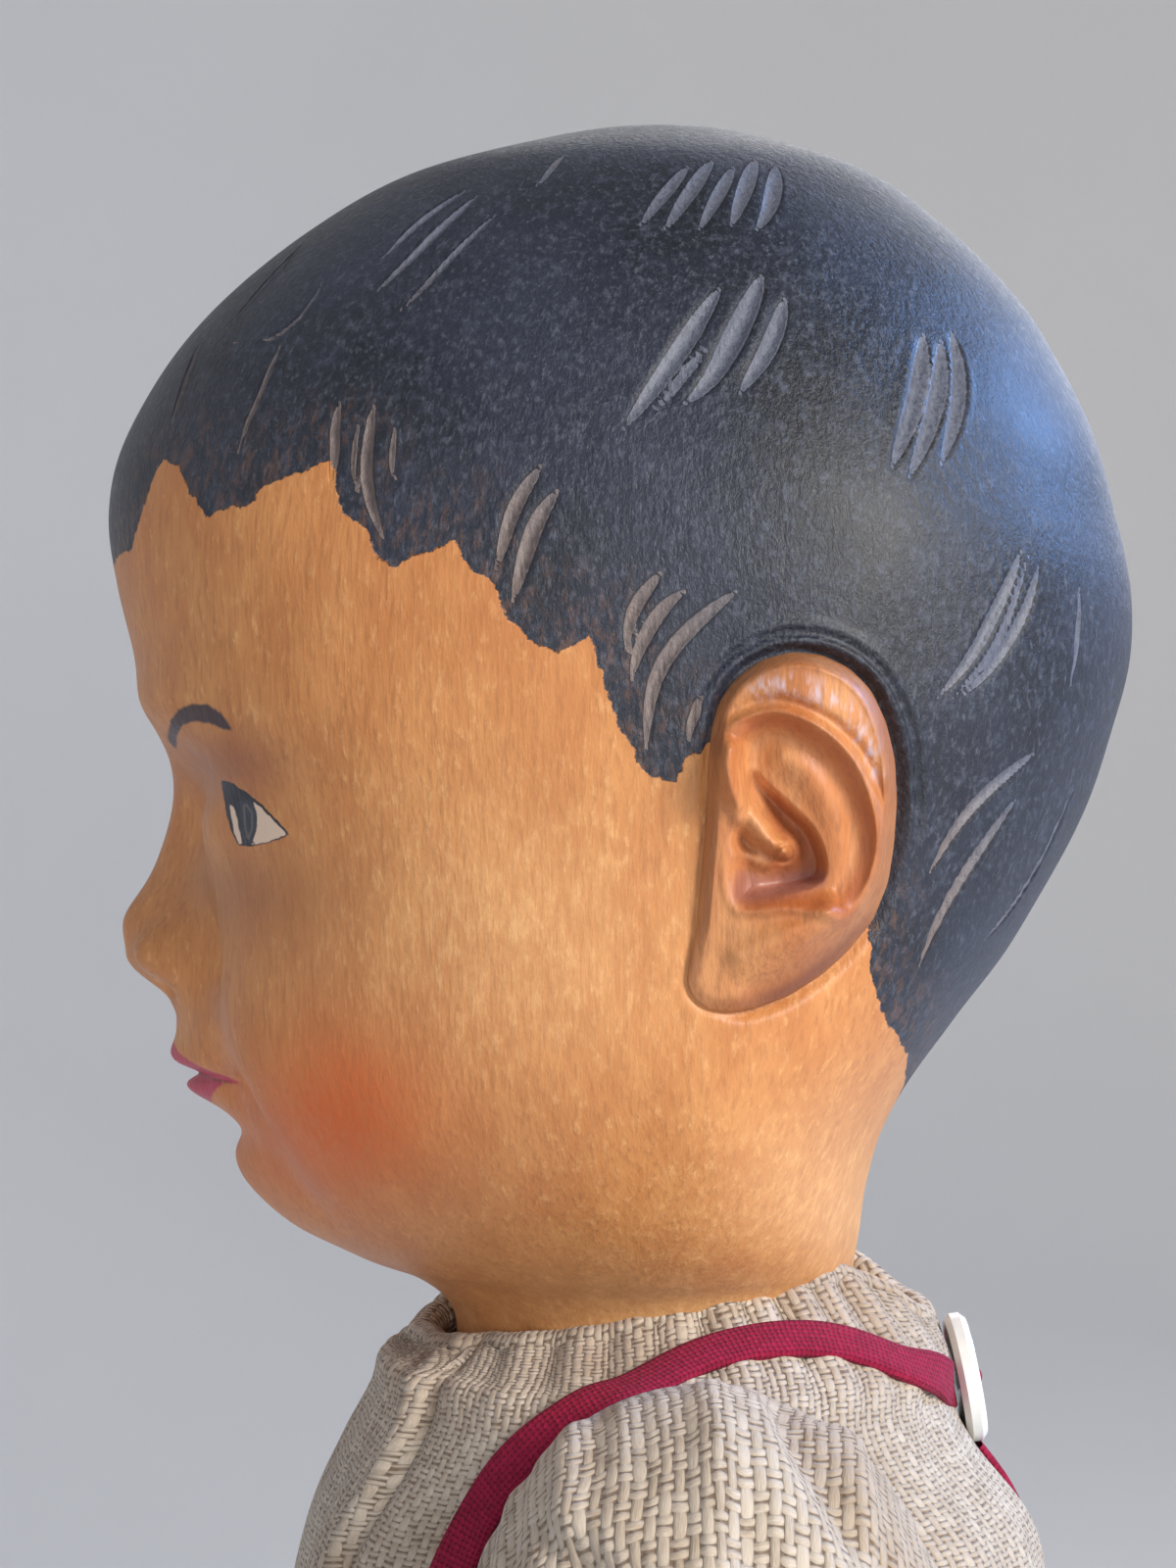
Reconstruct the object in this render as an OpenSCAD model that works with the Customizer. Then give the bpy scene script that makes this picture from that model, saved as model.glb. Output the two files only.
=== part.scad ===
// Jointed wooden doll of a small child, in a linen shirt, tape braces and short trousers
// It stands on the floor at zero, with its face toward -Y and its left hand toward +X

/* [Figure] */
// Length of the lower leg, from the sole to the knee peg
shin_len = 88; // [80:1:98]
// Length of the thigh, from the knee peg to the hip dowel
thigh_len = 84; // [78:1:94]
// Height of the shoulder pegs over the hip dowel
torso_len = 114; // [108:1:124]
// Length of the upper arm, from the shoulder peg to the elbow peg
upper_arm_len = 55; // [52:1:62]
// Length of the forearm, from the elbow peg to the wrist
forearm_len = 44; // [40:1:52]
// Length of the hand
hand_len = 30; // [26:1:34]
// Angle by which each arm hangs outward
arm_slant = 8; // [6:1:11]

/* [Head] */
// Height of the head, from the foot of the jaw to the crown
head_h = 100; // [92:1:110]
// Depth of the head, from the forehead to the back
head_d = 86; // [80:1:92]
// Width of the head without its ears
head_w = 74; // [68:1:78]
// Diameter of the neck
neck_d = 33; // [31:0.5:34]
// Height of each ear
ear_h = 27; // [23:1:30]
// Width of each ear
ear_w = 17; // [14:1:19]

/* [Torso] */
// Width of the torso across its flat sides
torso_w = 56; // [54:0.5:58]
// Depth of the torso at the chest
torso_d = 40; // [38:0.5:43]
// Radius of the rounded pelvis about the hip dowel
pelvis_r = 16; // [15:0.5:16.5]
// Distance between the middles of the two thighs
hip_span = 33; // [32:0.5:34]

/* [Limbs] */
// Radius of the ball at the shoulder
shoulder_r = 11; // [10.5:0.25:11.5]
// Radius of the ball at the elbow
elbow_r = 8.5; // [8:0.25:9]
// Radius of the wrist
wrist_r = 5.4; // [4.8:0.1:6]
// Radius of the thigh near its top
thigh_r = 13; // [12:0.25:13.5]
// Radius of the ball at the knee
knee_r = 10.5; // [10:0.25:11]
// Radius of the ankle
ankle_r = 6.6; // [6:0.1:7.4]
// Length of each painted shoe
shoe_len = 60; // [54:1:66]
// Width of each painted shoe
shoe_w = 25; // [22:0.5:27]
// Height of each painted shoe at its rim
shoe_h = 22; // [18:1:26]

/* [Joints] */
// Radius of the knee and elbow pegs
peg_r = 2; // [1.6:0.1:2.4]
// Radius of the shoulder pegs
shoulder_peg_r = 2.5; // [2:0.1:3]
// Radius of the hip dowel
hip_dowel_r = 3; // [2.5:0.1:3.5]
// Radius of the neck dowel
neck_dowel_r = 6; // [5.5:0.1:6.5]
// Width of the tongues at the knees and elbows
tongue_w = 6.4; // [5.4:0.1:7]
// Width of the tongues at the hips
hip_tongue_w = 9.4; // [8:0.1:10.5]
// Gap beside a tongue and round a ball
joint_gap = 0.3; // [0.2:0.05:0.5]
// Clearance round a pin that turns
running_gap = 0.06; // [0.03:0.01:0.09]
// Clearance round a pin that is glued
glue_gap = 0.02; // [0.01:0.005:0.03]
// Angle to which a thigh swings forward
hip_forward = 90; // [70:5:90]
// Angle to which a thigh swings backward
hip_backward = 10; // [5:1:12]
// Angle to which a knee bends
knee_bend = 100; // [80:5:100]
// Angle to which an elbow bends
elbow_bend = 105; // [80:5:105]

/* [Clothes] */
// Thickness of the linen
linen = 1.2; // [0.9:0.1:1.6]
// Looseness of the shirt at the chest
shirt_ease = 10.4; // [7:0.1:12]
// Width of the braces
brace_w = 3.6; // [3:0.1:4.5]
// Thickness of the braces
brace_t = 0.9; // [0.6:0.1:1.2]
// Diameter of the button at the back
button_d = 11; // [9:0.5:13]
// Thickness of the button
button_t = 1.8; // [1.4:0.1:2.4]
// Height of the trouser hems over the knee pegs
trouser_hem = 19; // [17:1:30]
// Height of the sleeve hems over the elbow pegs
sleeve_hem = 17; // [16:0.5:22]

/* [Hidden] */

// Roundness of drilled holes and turned pieces
$fn = 48;
// Overrun of every cut
over = 1;

// Heights of the joints over the floor
knee_z = shin_len;
hip_z = knee_z + thigh_len;
shoulder_z = hip_z + torso_len;
// Height of the foot of the neck over the shoulder pegs, and length of the neck
neck_rise = 6;
neck_len = 13;
neck_z = shoulder_z + neck_rise;
head_z = neck_z + neck_len;
neck_r = neck_d / 2;
// Places of the neck and the shoulder pegs behind the middle of the head
neck_y = 2.5;
shoulder_y = 6;
// Middle of the shoulder ball beside the torso, as a share of the ball's radius
ball_seat_share = 0.94;
shoulder_x = torso_w / 2 + joint_gap + shoulder_r * ball_seat_share;

// Stations up the torso: height as a share of its length over the hip dowel, then half width,
// depth in front of the neck's axis and depth behind it, as shares of the half width and depth
torso_shares = [[0, 1.03, 0.92, 0.68], [0.05, 1.03, 0.86, 0.7], [0.1, 1.03, 0.7, 0.74],
    [0.14, 1.03, 0.74, 0.78], [0.2, 1.0, 0.84, 0.79], [0.34, 0.95, 0.88, 0.76],
    [0.6, 1.0, 0.93, 0.92], [0.84, 1.03, 0.99, 1.04], [1, 1.03, 0.99, 1.04],
    [1.09, 1.01, 0.98, 1.02], [1.12, 0.93, 0.94, 0.97]];
// Corner power of the torso's plan, where 2 is an ellipse
torso_power = 2.8;
// Height share at which the shoulders begin to round off to an ellipse
shoulder_round_share = 0.98;
torso_n = 32;
torso_top = hip_z + torso_shares[len(torso_shares) - 1][0] * torso_len;
// Depths of the pelvis before and behind the neck's axis
pelvis_front = neck_y + pelvis_r;
pelvis_back = pelvis_r - neck_y;

// Stations up the head: height as a share of its height, depth in front of the neck's axis and
// depth behind it as shares of its depth, and half width as a share of its width
head_shares = [[0.03, 0.24, 0.2, 0.25], [0.055, 0.33, 0.202, 0.315], [0.085, 0.39, 0.205, 0.37],
    [0.13, 0.408, 0.216, 0.416], [0.19, 0.42, 0.248, 0.454], [0.27, 0.442, 0.316, 0.476],
    [0.36, 0.455, 0.388, 0.484], [0.45, 0.474, 0.438, 0.494], [0.55, 0.505, 0.469, 0.5],
    [0.65, 0.532, 0.464, 0.492], [0.75, 0.508, 0.427, 0.456], [0.84, 0.432, 0.37, 0.388],
    [0.915, 0.327, 0.285, 0.29], [0.97, 0.198, 0.186, 0.176], [1, 0, 0, 0]];
// Rows of facets between two stations on the face and over it, and facets round the head
face_rows = 4;
crown_rows = 3;
head_n = 56;
// Crowding of the facets toward the face, in degrees
face_crowd = 22;
// Shift of the widest part of the head behind the neck's axis, as a share of its depth
widest_share = 0.05;
// Relief of the face: place across, height, spread across, spread up and rise, all as shares of
// the head's height
relief_shares = [
    [0.056, 0.306, 0.023, 0.023, 0.027], // wings of the nose
    [0.095, 0.315, 0.022, 0.04, -0.011], // crease beside each wing
    [0, 0.222, 0.07, 0.026, 0.034], // upper lip
    [0, 0.25, 0.014, 0.02, -0.006], // groove over the lip
    [0, 0.18, 0.055, 0.016, 0.022], // lower lip
    [0, 0.2, 0.08, 0.008, -0.018], // line of the mouth
    [0, 0.146, 0.07, 0.018, -0.012], // dip over the chin
    [0.1, 0.195, 0.02, 0.024, -0.016], // corners of the mouth
    [0.12, 0.436, 0.065, 0.046, -0.033], // eye hollows
    [0.06, 0.425, 0.032, 0.036, -0.014], // inner corners of the eyes
    [0.132, 0.419, 0.046, 0.031, 0.021], // eyelids
    [0.13, 0.508, 0.08, 0.032, 0.012], // brows
    [0.18, 0.235, 0.075, 0.085, 0.026], // cheeks
    [0.115, 0.27, 0.025, 0.04, -0.008]]; // fold beside the nose
// Nose: rise, heights of its root, tip and base, and half width at the root and at the tip
nose_shares = [0.064, 0.47, 0.322, 0.27, 0.026, 0.05];
// Depth over which the relief of the face fades out toward the sides
face_fade = 14;
// Place of the ears behind the middle and up the head, and their backward tilt
ear_y = 11.7;
ear_up_share = 0.405;
ear_tilt = 16.5;
ear_turn = 12;
// Rise of the rim of the ear over the head, and how deep its foot is let in
ear_rise = 4;
ear_root = 5;
ear_n = 24;
// Rings across the ear: place as a share of its outline, and height as a share of its rise
ear_shares = [[1, -1.2], [0.99, 0.45], [0.93, 0.95], [0.85, 1], [0.77, 0.8], [0.7, 0.42], [0.6, 0.5],
    [0.48, 0.62], [0.36, 0.2], [0.2, -0.15], [0.05, -0.2]];

// Neck dowel: depth in the head and in the torso, and the groove that the retaining peg runs in
dowel_up = 28;
dowel_down = 30;
groove_depth = 1.5;
groove_w = 5;
groove_drop = 20;
retaining_r = 2.2;
retaining_gap = 0.15;
chamfer = 0.6;
socket_gap = 0.5;

// Shoulder pegs: depth in the torso, and the head that keeps the arm on
shoulder_peg_in = 14;
peg_head_r = 4.2;
peg_head_t = 2.6;
peg_head_gap = 0.3;

// Tongues at the knees, elbows and hips, as shares of the ball or pelvis that they turn in
tongue_share = 0.72;
hip_tongue_share = 0.75;
knee_tongue_r = knee_r * tongue_share;
elbow_tongue_r = elbow_r * tongue_share;
hip_tongue_r = pelvis_r * hip_tongue_share;
// Angle by which each bevel stays short of meeting the other
bevel_spare = 2;
// How far a tongue runs into its own limb
tongue_root = 4;
// Gap between the pelvis and the thigh's hollowed top
cope_gap = 0.4;

// Waists and swellings of the turned limbs, as shares of their radii
upper_arm_share = 0.7;
upper_arm_waist_share = 0.38;
elbow_neck_share = 0.92;
elbow_neck_up_share = 0.8;
forearm_top_share = 0.9;
forearm_belly_share = 0.95;
forearm_belly_at_share = 0.4;
wrist_top_share = 1.12;
wrist_top_at_share = 0.82;
thigh_top_share = 0.9;
thigh_full_share = 1.4;
thigh_mid_share = 0.97;
knee_neck_share = 0.94;
calf_top_share = 0.88;
// Calf and ankle: radius as a share of the knee's or the ankle's, and way down the shank
calf_shares = [[0.98, 0.34], [0.92, 0.55]];
ankle_shares = [[1.08, 0.84], [1, 0.95]];

// Hand: stations from the wrist to the finger tips: way down, width and thickness as shares of
// the hand's length, and depth of the grooves between the fingers
hand_shares = [[0, 0.4, 0.4, 0], [0.1, 0.42, 0.37, 0], [0.25, 0.53, 0.34, 0], [0.42, 0.6, 0.32, 0.1],
    [0.52, 0.61, 0.31, 0.4], [0.62, 0.6, 0.29, 1], [0.76, 0.57, 0.26, 1], [0.88, 0.5, 0.22, 1],
    [0.96, 0.38, 0.16, 1], [1, 0.18, 0.07, 0.5]];
hand_n = 24;
finger_groove = 1.1;
hand_curl = 3.2;
thumb_shares = [[0.1, 0.05, 0.07], [0.2, 0.2, 0.115], [0.34, 0.31, 0.115], [0.46, 0.385, 0.1],
    [0.56, 0.43, 0.075], [0.61, 0.44, 0.03]];
thumb_n = 14;
wrist_let = 3;

// Shoe: stations up from the sole: height as a share of its height, front and back as shares of
// its length, and width as a share of its width
shoe_shares = [[0, 0.64, 0.34, 0.94], [0.07, 0.66, 0.36, 1], [0.2, 0.66, 0.36, 1],
    [0.36, 0.62, 0.345, 0.97], [0.52, 0.53, 0.33, 0.89], [0.68, 0.4, 0.31, 0.79],
    [0.84, 0.28, 0.29, 0.71], [1, 0.21, 0.26, 0.66]];
shoe_n = 32;
shoe_power = 2.5;
// Middle of the ankle before the hip dowel
leg_y = 0;
ankle_let = 6;

// Shirt: stations from the hem to the shoulders: height as a share of the way from the waistband
// to the top of the torso, and looseness at the front, at the back and of the folds, as shares
shirt_shares = [[-0.1, 0, 0, 0], [0, 0, 0, 0.2], [0.06, 0.5, 0.5, 0.7], [0.14, 0.85, 0.8, 1],
    [0.27, 1, 1, 1], [0.42, 1.02, 1.04, 0.8], [0.58, 1.0, 1.06, 0.6], [0.75, 0.88, 1.06, 0.5],
    [0.86, 0.7, 1.0, 0.4], [0.935, 0.44, 0.58, 0.3], [0.985, 0.28, 0.44, 0.15]];
// Looseness of the shirt beside the arms, and its gap to the wood under it
side_ease = 2.3;
// Hole in the shirt's side for the ball of the arm, as a share of the ball
armhole_share = 0.72;
under_gap = 0.4;
// Shoulders and neck edge: height over the torso, then width, front and back as shares of the way
// from the neck out to the shoulder
yoke_shares = [[0.2, 0.82, 0.72, 0.73], [0.38, 0.63, 0.5, 0.68], [0.6, 0.36, 0.36, 0.5],
    [1, 0.1, 0.22, 0.3]];
yoke_rise = 5.6;
collar_gap = 1.1;
// Drop of the collar's front edge, which is also the rise of its back
collar_dip = 2.3;
shirt_n = 48;
shirt_folds = 11;
fold_depth = 0.9;
pleat_w = 15;
pleat_t = 1.2;

// Sleeve: gap to the side of the shirt, height of the pivot under the shoulder, and rings round
// it: angle, reach from the pivot and half depth, as shares of the shoulder ball's radius
sleeve_gap = 0.4;
sleeve_shares = [[90, 3.08, 1.47], [74, 3.3, 1.58], [56, 3.32, 1.64], [38, 3.1, 1.65], [20, 2.72, 1.58],
    [5, 2.35, 1.48]];
sleeve_drop_share = 1.48;
sleeve_inset = 1;
sleeve_hem_x_share = 1.06;
sleeve_hem_y_share = 1.3;
sleeve_n = 32;
sleeve_folds = 9;
sleeve_fold = 0.8;

// Braces: way over the shirt as angle from the front and station, from the waist to the button
brace_way_shares = [[40, 1.15], [42, 2.4], [46, 4.4], [53, 6.4], [57, 8], [60, 9], [64, 9.7],
    [72, 10.5], [84, 11.6], [102, 12.4], [129, 12.3], [150, 11.4], [166, 10.5], [174, 10.05]];
tail_way_shares = [[180, 1.15], [180, 3], [180, 6], [180, 8.8]];
brace_lift = 0.55;
brace_n = 3;
button_station_share = 10.05;
button_rim = 0.5;
thread_hole_r = 0.8;
thread_hole_x = 1.4;

// Trousers: heights of the waistband and of the front and back edges over the hip dowel
waist_up = 38;
seat_front_up = 19.5;
seat_back_down = 5;
seat_gap = under_gap + linen + joint_gap;
seat_ease = 2.4;
// Corner power of the seat's plan
seat_power = 3.4;
waistband_h = 7;
waistband_t = 0.5;
// Radius about the hip dowel over which the trouser legs stay clear of the seat
leg_clear_r = pelvis_r + 5.4;
leg_gap = 0.6;
leg_ease = 4.6;
leg_flare = 1.6;
leg_folds = 7;
leg_fold = 0.7;
leg_n = 30;

// Smooth step from 0 to 1 between two values
function step_up(lo, hi, v) = let (u = min(1, max(0, (v - lo) / (hi - lo)))) u * u * (3 - 2 * u);
// Round hill of height 1
function hill(u, v) = exp(-u * u - v * v);
// Smooth curve through a list of stations, at a place counted in stations
function curve_at(list, t) = let (
    last = len(list) - 1,
    i = min(last - 1, max(0, floor(t))),
    u = t - i,
    a = list[i],
    b = list[i + 1],
    before = i > 0 ? list[i - 1] : a,
    after = i + 1 < last ? list[i + 2] : b,
    ta = (b - before) / 2,
    tb = (after - a) / 2)
    (2 * u * u * u - 3 * u * u + 1) * a + (u * u * u - 2 * u * u + u) * ta
    + (3 * u * u - 2 * u * u * u) * b + (u * u * u - u * u) * tb;
// Row of stations at a height, where each station starts with its height
function station_at(list, h, i = 0) = let (
    last = i >= len(list) - 2,
    a = list[i],
    b = list[i + 1])
    h > b[0] && !last ? station_at(list, h, i + 1)
        : a + (b - a) * min(1, max(0, (h - a[0]) / (b[0] - a[0])));
// Points of an arc from one angle to another
function arc(r, from, to, steps, up = 0) =
    [for (i = [0 : steps]) let (a = from + (to - from) * i / steps) [r * cos(a), up + r * sin(a)]];
// Scale of a rounded square's point at an angle
function corner(a, power) = 1 / pow(pow(abs(sin(a)), power) + pow(abs(cos(a)), power), 1 / power);
// Level ring about the neck's axis: height, half width, depths, corner power and count
function level_ring(z, w, front, back, power, n, y = neck_y) =
    [for (i = [0 : n - 1]) let (a = i * 360 / n, k = corner(a, power))
        [w * sin(a) * k, y - (cos(a) > 0 ? front : back) * cos(a) * k, z]];

// Triangles between rings of equal count, from each ring to the next
function wall_faces(rings, n, closed) = [for (j = [0 : rings - (closed ? 1 : 2)]) for (i = [0 : n - 1])
    let (
        a = j * n + i,
        b = j * n + (i + 1) % n,
        up = (j + 1) % rings * n,
        c = up + i,
        d = up + (i + 1) % n)
    each [[a, d, b], [a, c, d]]];
// Solid between the first ring and the last, with flat ends
module loft(rings) {
    n = len(rings[0]);
    m = len(rings);
    polyhedron([for (r = rings) each r], concat(wall_faces(m, n, false),
        [[for (i = [0 : n - 1]) i]], [[for (i = [n - 1 : -1 : 0]) (m - 1) * n + i]]));
}
// Hollow solid whose last ring joins its first
module shell(rings) {
    polyhedron([for (r = rings) each r], wall_faces(len(rings), len(rings[0]), true));
}
// Same piece on the doll's other side
module right_side() {
    mirror([1, 0, 0]) children();
}
// Extrusion of a side view, given as front-to-back and height, centred across the doll
module across(w) {
    rotate([90, 0, 90]) linear_extrude(w, center = true) children();
}
// Pin or bore across the doll
module cross_pin(r, w) {
    rotate([0, 90, 0]) cylinder(r = r, h = w, center = true);
}
// Side view of a tongue that hangs from its pin
module tongue(r, w, reach) {
    across(w) polygon(concat(arc(r, 0, 180, 24), [[-r, -reach], [r, -reach]]));
}
// Space that a tongue sweeps, from its backward to its forward limit
module tongue_slot(r, w, back, forward, reach) {
    q = r + joint_gap;
    middle = (forward - back) / 2;
    across(w + 2 * joint_gap) polygon(concat(
        [[sin(back) * reach + cos(back) * q, -cos(back) * reach + sin(back) * q]],
        arc(q, back, 180 - forward, 24),
        [[-sin(forward) * reach - cos(forward) * q, -cos(forward) * reach + sin(forward) * q]],
        [[-sin(middle) * 2 * reach, -cos(middle) * 2 * reach]]));
}
// Cut on the side that a limb bends toward, -1 for the front and 1 for the back, so that the two
// limbs meet on their bevels at the joint's limit; the ball between them stays whole
module bend_bevel(r, bend, side) {
    lean = (180 - bend) / 2 - bevel_spare;
    far = 3 * r;
    difference() {
        across(4 * r) polygon([[0, 0], [side * far * sin(lean), -far * cos(lean)],
            [side * far, -far * cos(lean)], [side * far, 0]]);
        sphere(r + joint_gap / 2);
    }
}
// Turned peg with chamfered ends
module peg(r, w) {
    rotate([0, 90, 0]) rotate_extrude() polygon([[0, -w / 2], [r - chamfer / 2, -w / 2],
        [r, -w / 2 + chamfer / 2], [r, w / 2 - chamfer / 2], [r - chamfer / 2, w / 2], [0, w / 2]]);
}

// Half sizes of the torso at a height share: half width, front and back
function torso_at(h) = let (s = station_at(torso_shares, h))
    [s[1] * torso_w / 2, s[2] * torso_d / 2, s[3] * torso_d / 2];
// Corner power of the torso's and the shirt's plan at a height
function power_at(z) = torso_power - (torso_power - 2)
    * step_up(hip_z + shoulder_round_share * torso_len, torso_top, z);
function torso_ring(h) = let (t = torso_at(h), z = hip_z + h * torso_len)
    level_ring(z, t[0], t[1], t[2], power_at(z), torso_n);
// Rows of the rounded pelvis, from its underside up to the hip dowel
pelvis_rings = [for (a = [-78 : 13 : -13]) level_ring(hip_z + pelvis_r * sin(a), torso_w / 2,
    neck_y + pelvis_r * cos(a), pelvis_r * cos(a) - neck_y, torso_power + 3.6, torso_n)];

module torso() {
    color("burlywood") difference() {
        intersection() {
            loft(concat(pelvis_rings, [level_ring(hip_z, torso_w / 2, pelvis_front, pelvis_back,
                torso_power + 2.6, torso_n)], [for (s = torso_shares) if (s[0] > 0) torso_ring(s[0])]));
            translate([0, neck_y, (hip_z + torso_top) / 2])
                cube([torso_w, 2 * torso_d, torso_top - hip_z + 3 * pelvis_r], center = true);
        }
        translate([0, neck_y, neck_z - joint_gap]) cylinder(r = neck_r + socket_gap, h = neck_len + over);
        translate([0, neck_y, neck_z - dowel_down - over])
            cylinder(r = neck_dowel_r + running_gap, h = dowel_down + over);
        translate([retaining_x, torso_d, neck_z - groove_drop]) rotate([90, 0, 0])
            cylinder(r = retaining_r + glue_gap, h = torso_d + retaining_front);
        for (side = [-1, 1]) {
            translate([side * (torso_w / 2 - shoulder_peg_in / 2 + over / 2), shoulder_y, shoulder_z])
                cross_pin(shoulder_peg_r + glue_gap, shoulder_peg_in + over);
            translate([side * hip_span / 2, 0, hip_z])
                tongue_slot(hip_tongue_r, hip_tongue_w, hip_backward, hip_forward, 2 * pelvis_r);
        }
        translate([0, 0, hip_z]) cross_pin(hip_dowel_r + glue_gap, torso_w + 2 * over);
    }
}
// Place of the retaining peg beside the neck dowel, and how far it runs before the neck's axis
retaining_x = neck_dowel_r - groove_depth + retaining_r + retaining_gap;
retaining_front = 6;

module neck_retaining_peg() {
    back = torso_at((neck_z - groove_drop - hip_z) / torso_len)[2] + neck_y - over;
    color("tan") translate([retaining_x, back, neck_z - groove_drop]) rotate([90, 0, 0])
        cylinder(r = retaining_r, h = back + retaining_front - over);
}

module neck_dowel() {
    groove = neck_dowel_r - groove_depth;
    top = dowel_up - over;
    color("peru") translate([0, neck_y, neck_z]) rotate_extrude() polygon([[0, over - dowel_down],
        [neck_dowel_r - chamfer, over - dowel_down], [neck_dowel_r, over + chamfer - dowel_down],
        [neck_dowel_r, -groove_drop - groove_w / 2], [groove, -groove_drop - groove_w / 2],
        [groove, -groove_drop + groove_w / 2], [neck_dowel_r, -groove_drop + groove_w / 2],
        [neck_dowel_r, top - chamfer], [neck_dowel_r - chamfer, top], [0, top]]);
}

module hip_dowel() {
    color("peru") translate([0, 0, hip_z]) peg(hip_dowel_r, torso_w - over);
}

// Stations of the head in real sizes, with the neck under them
head_stations = concat(
    [[neck_z, neck_r, neck_r, neck_r], [neck_z + neck_len / 2, neck_r, neck_r, neck_r],
        [head_z, neck_r, neck_r, neck_r]],
    [for (s = head_shares) [head_z + s[0] * head_h, s[1] * head_d, s[2] * head_d, s[3] * head_w]]);
// Places of the rows, counted in stations: the neck, the face, the crown and the small flat on top
face_top = 11;
crown_flat = 0.08;
crown_last = len(head_stations) - 1 - crown_flat;
head_rows = concat([0, 1, 2], [for (i = [1 : (face_top - 2) * face_rows]) 2 + i / face_rows],
    [for (i = [1 : 6 * crown_rows]) min(crown_last, face_top + i / crown_rows)]);
// The curve is level at the crown, as the station behind it is its own mirror image
function crowned(list) = concat(list, [[list[len(list) - 2][0], -list[len(list) - 2][1],
    -list[len(list) - 2][2], -list[len(list) - 2][3]]]);

// Forward rise of the face at a place across and up
function nose_rise(x, h) = let (
    s = nose_shares,
    wide = (s[4] + (s[5] - s[4]) * step_up(s[1], s[2], h)) * head_h,
    along = pow(step_up(s[1], s[2] + 0.002, h), 1.25) * step_up(s[3], s[3] + 0.026, h))
    s[0] * head_h * along * exp(-pow(x / wide, 2));
function face_rise(x, y, z) = let (h = (z - head_z) / head_h, ax = abs(x) / head_h,
    rises = [for (r = relief_shares) r[4] * head_h * hill((ax - r[0]) / r[2], (h - r[1]) / r[3])])
    (nose_rise(x, h) + rises * [for (r = rises) 1]) * step_up(-head_d / 10, -head_d / 10 - face_fade, y);
function head_ring(t) = let (
    s = curve_at(crowned(head_stations), t),
    h = (s[0] - head_z) / head_h,
    shift = h > 0 && h < 1 ? widest_share * head_d * sin(180 * h) : 0,
    power = 2 + 0.3 * hill((h - 0.25) / 0.2, 0))
    [for (i = [0 : head_n - 1]) let (
        even = i * 360 / head_n,
        a = even - face_crowd * sin(even),
        k = corner(a, cos(a) > 0 ? power : 2),
        x = s[3] * sin(a) * k,
        y = neck_y + shift - (cos(a) > 0 ? s[1] + shift : s[2] - shift) * cos(a) * k)
        [x, y - (h > 0 ? face_rise(x, y, s[0]) : 0), s[0]]];

// Ear as rings that step in from its outline, narrower toward the lobe
function ear_ring(share, rise) = [for (i = [0 : ear_n - 1]) let (
    a = i * 360 / ear_n,
    low = (1 - cos(a)) / 2,
    lobe = rise > 0.3 && share < 0.9 ? 1 - 0.35 * low * low : 1)
    [rise * ear_rise * lobe, -share * ear_w / 2 * sin(a) * (1 - 0.3 * low * low),
        share * ear_h / 2 * cos(a)]];
module ear() {
    translate([head_w / 2 - ear_rise / 8, ear_y, head_z + ear_up_share * head_h])
        rotate([-ear_tilt, 0, 0]) rotate([0, 0, ear_turn])
            loft(concat([[for (p = ear_ring(ear_shares[0][0], 0)) [-ear_root, p[1], p[2]]]],
                [for (s = ear_shares) if (s[1] > -1) ear_ring(s[0], s[1])]));
}
module head() {
    color("sienna") difference() {
        resize([0, 0, 0]) union() {
            loft([for (t = head_rows) head_ring(t)]);
            ear();
            right_side() ear();
        }
        translate([0, neck_y, neck_z - over]) cylinder(r = neck_dowel_r + glue_gap, h = dowel_up + over);
    }
}

// Frame of the left arm at its shoulder ball, hanging outward
module arm_frame() {
    translate([shoulder_x, shoulder_y, shoulder_z]) rotate([0, -arm_slant, 0]) children();
}
module upper_arm() {
    mid = shoulder_r * upper_arm_share;
    difference() {
        arm_frame() difference() {
            rotate_extrude() polygon(concat(arc(shoulder_r, 90, -44, 18),
                [[mid, -upper_arm_len * upper_arm_waist_share],
                    [elbow_r * elbow_neck_share, -upper_arm_len + elbow_r * elbow_neck_up_share]],
                arc(elbow_r, 12, -90, 14, -upper_arm_len)));
            translate([0, 0, -upper_arm_len]) {
                tongue_slot(elbow_tongue_r, tongue_w, 0, elbow_bend, 2 * elbow_r);
                cross_pin(peg_r + glue_gap, 3 * elbow_r);
                mirror([0, 0, 1]) bend_bevel(elbow_r, elbow_bend, -1);
            }
        }
        translate([torso_w / 2 + joint_gap - shoulder_r, shoulder_y, shoulder_z])
            cube([2 * shoulder_r, 4 * shoulder_r, 4 * shoulder_r], center = true);
        translate([shoulder_x, shoulder_y, shoulder_z])
            cross_pin(shoulder_peg_r + running_gap, 4 * shoulder_r);
        translate([peg_head_x, shoulder_y, shoulder_z]) rotate([0, 90, 0])
            cylinder(r = peg_head_r + peg_head_gap, h = shoulder_r);
    }
}
// Floor of the counterbore that the peg's head sits in
peg_head_x = shoulder_x + shoulder_r - 1.6 * peg_head_t;

module shoulder_peg() {
    inner = torso_w / 2 - shoulder_peg_in + over;
    neck = peg_head_x + peg_head_gap;
    translate([inner, shoulder_y, shoulder_z]) rotate([0, 90, 0]) rotate_extrude() polygon([[0, 0],
        [shoulder_peg_r - chamfer, 0], [shoulder_peg_r, chamfer], [shoulder_peg_r, neck - inner],
        [peg_head_r, neck - inner], [peg_head_r, neck - inner + peg_head_t - chamfer],
        [peg_head_r - chamfer, neck - inner + peg_head_t], [0, neck - inner + peg_head_t]]);
}
module elbow_peg() {
    arm_frame() translate([0, 0, -upper_arm_len]) peg(peg_r, 2 * elbow_r - chamfer / 2);
}

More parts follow.
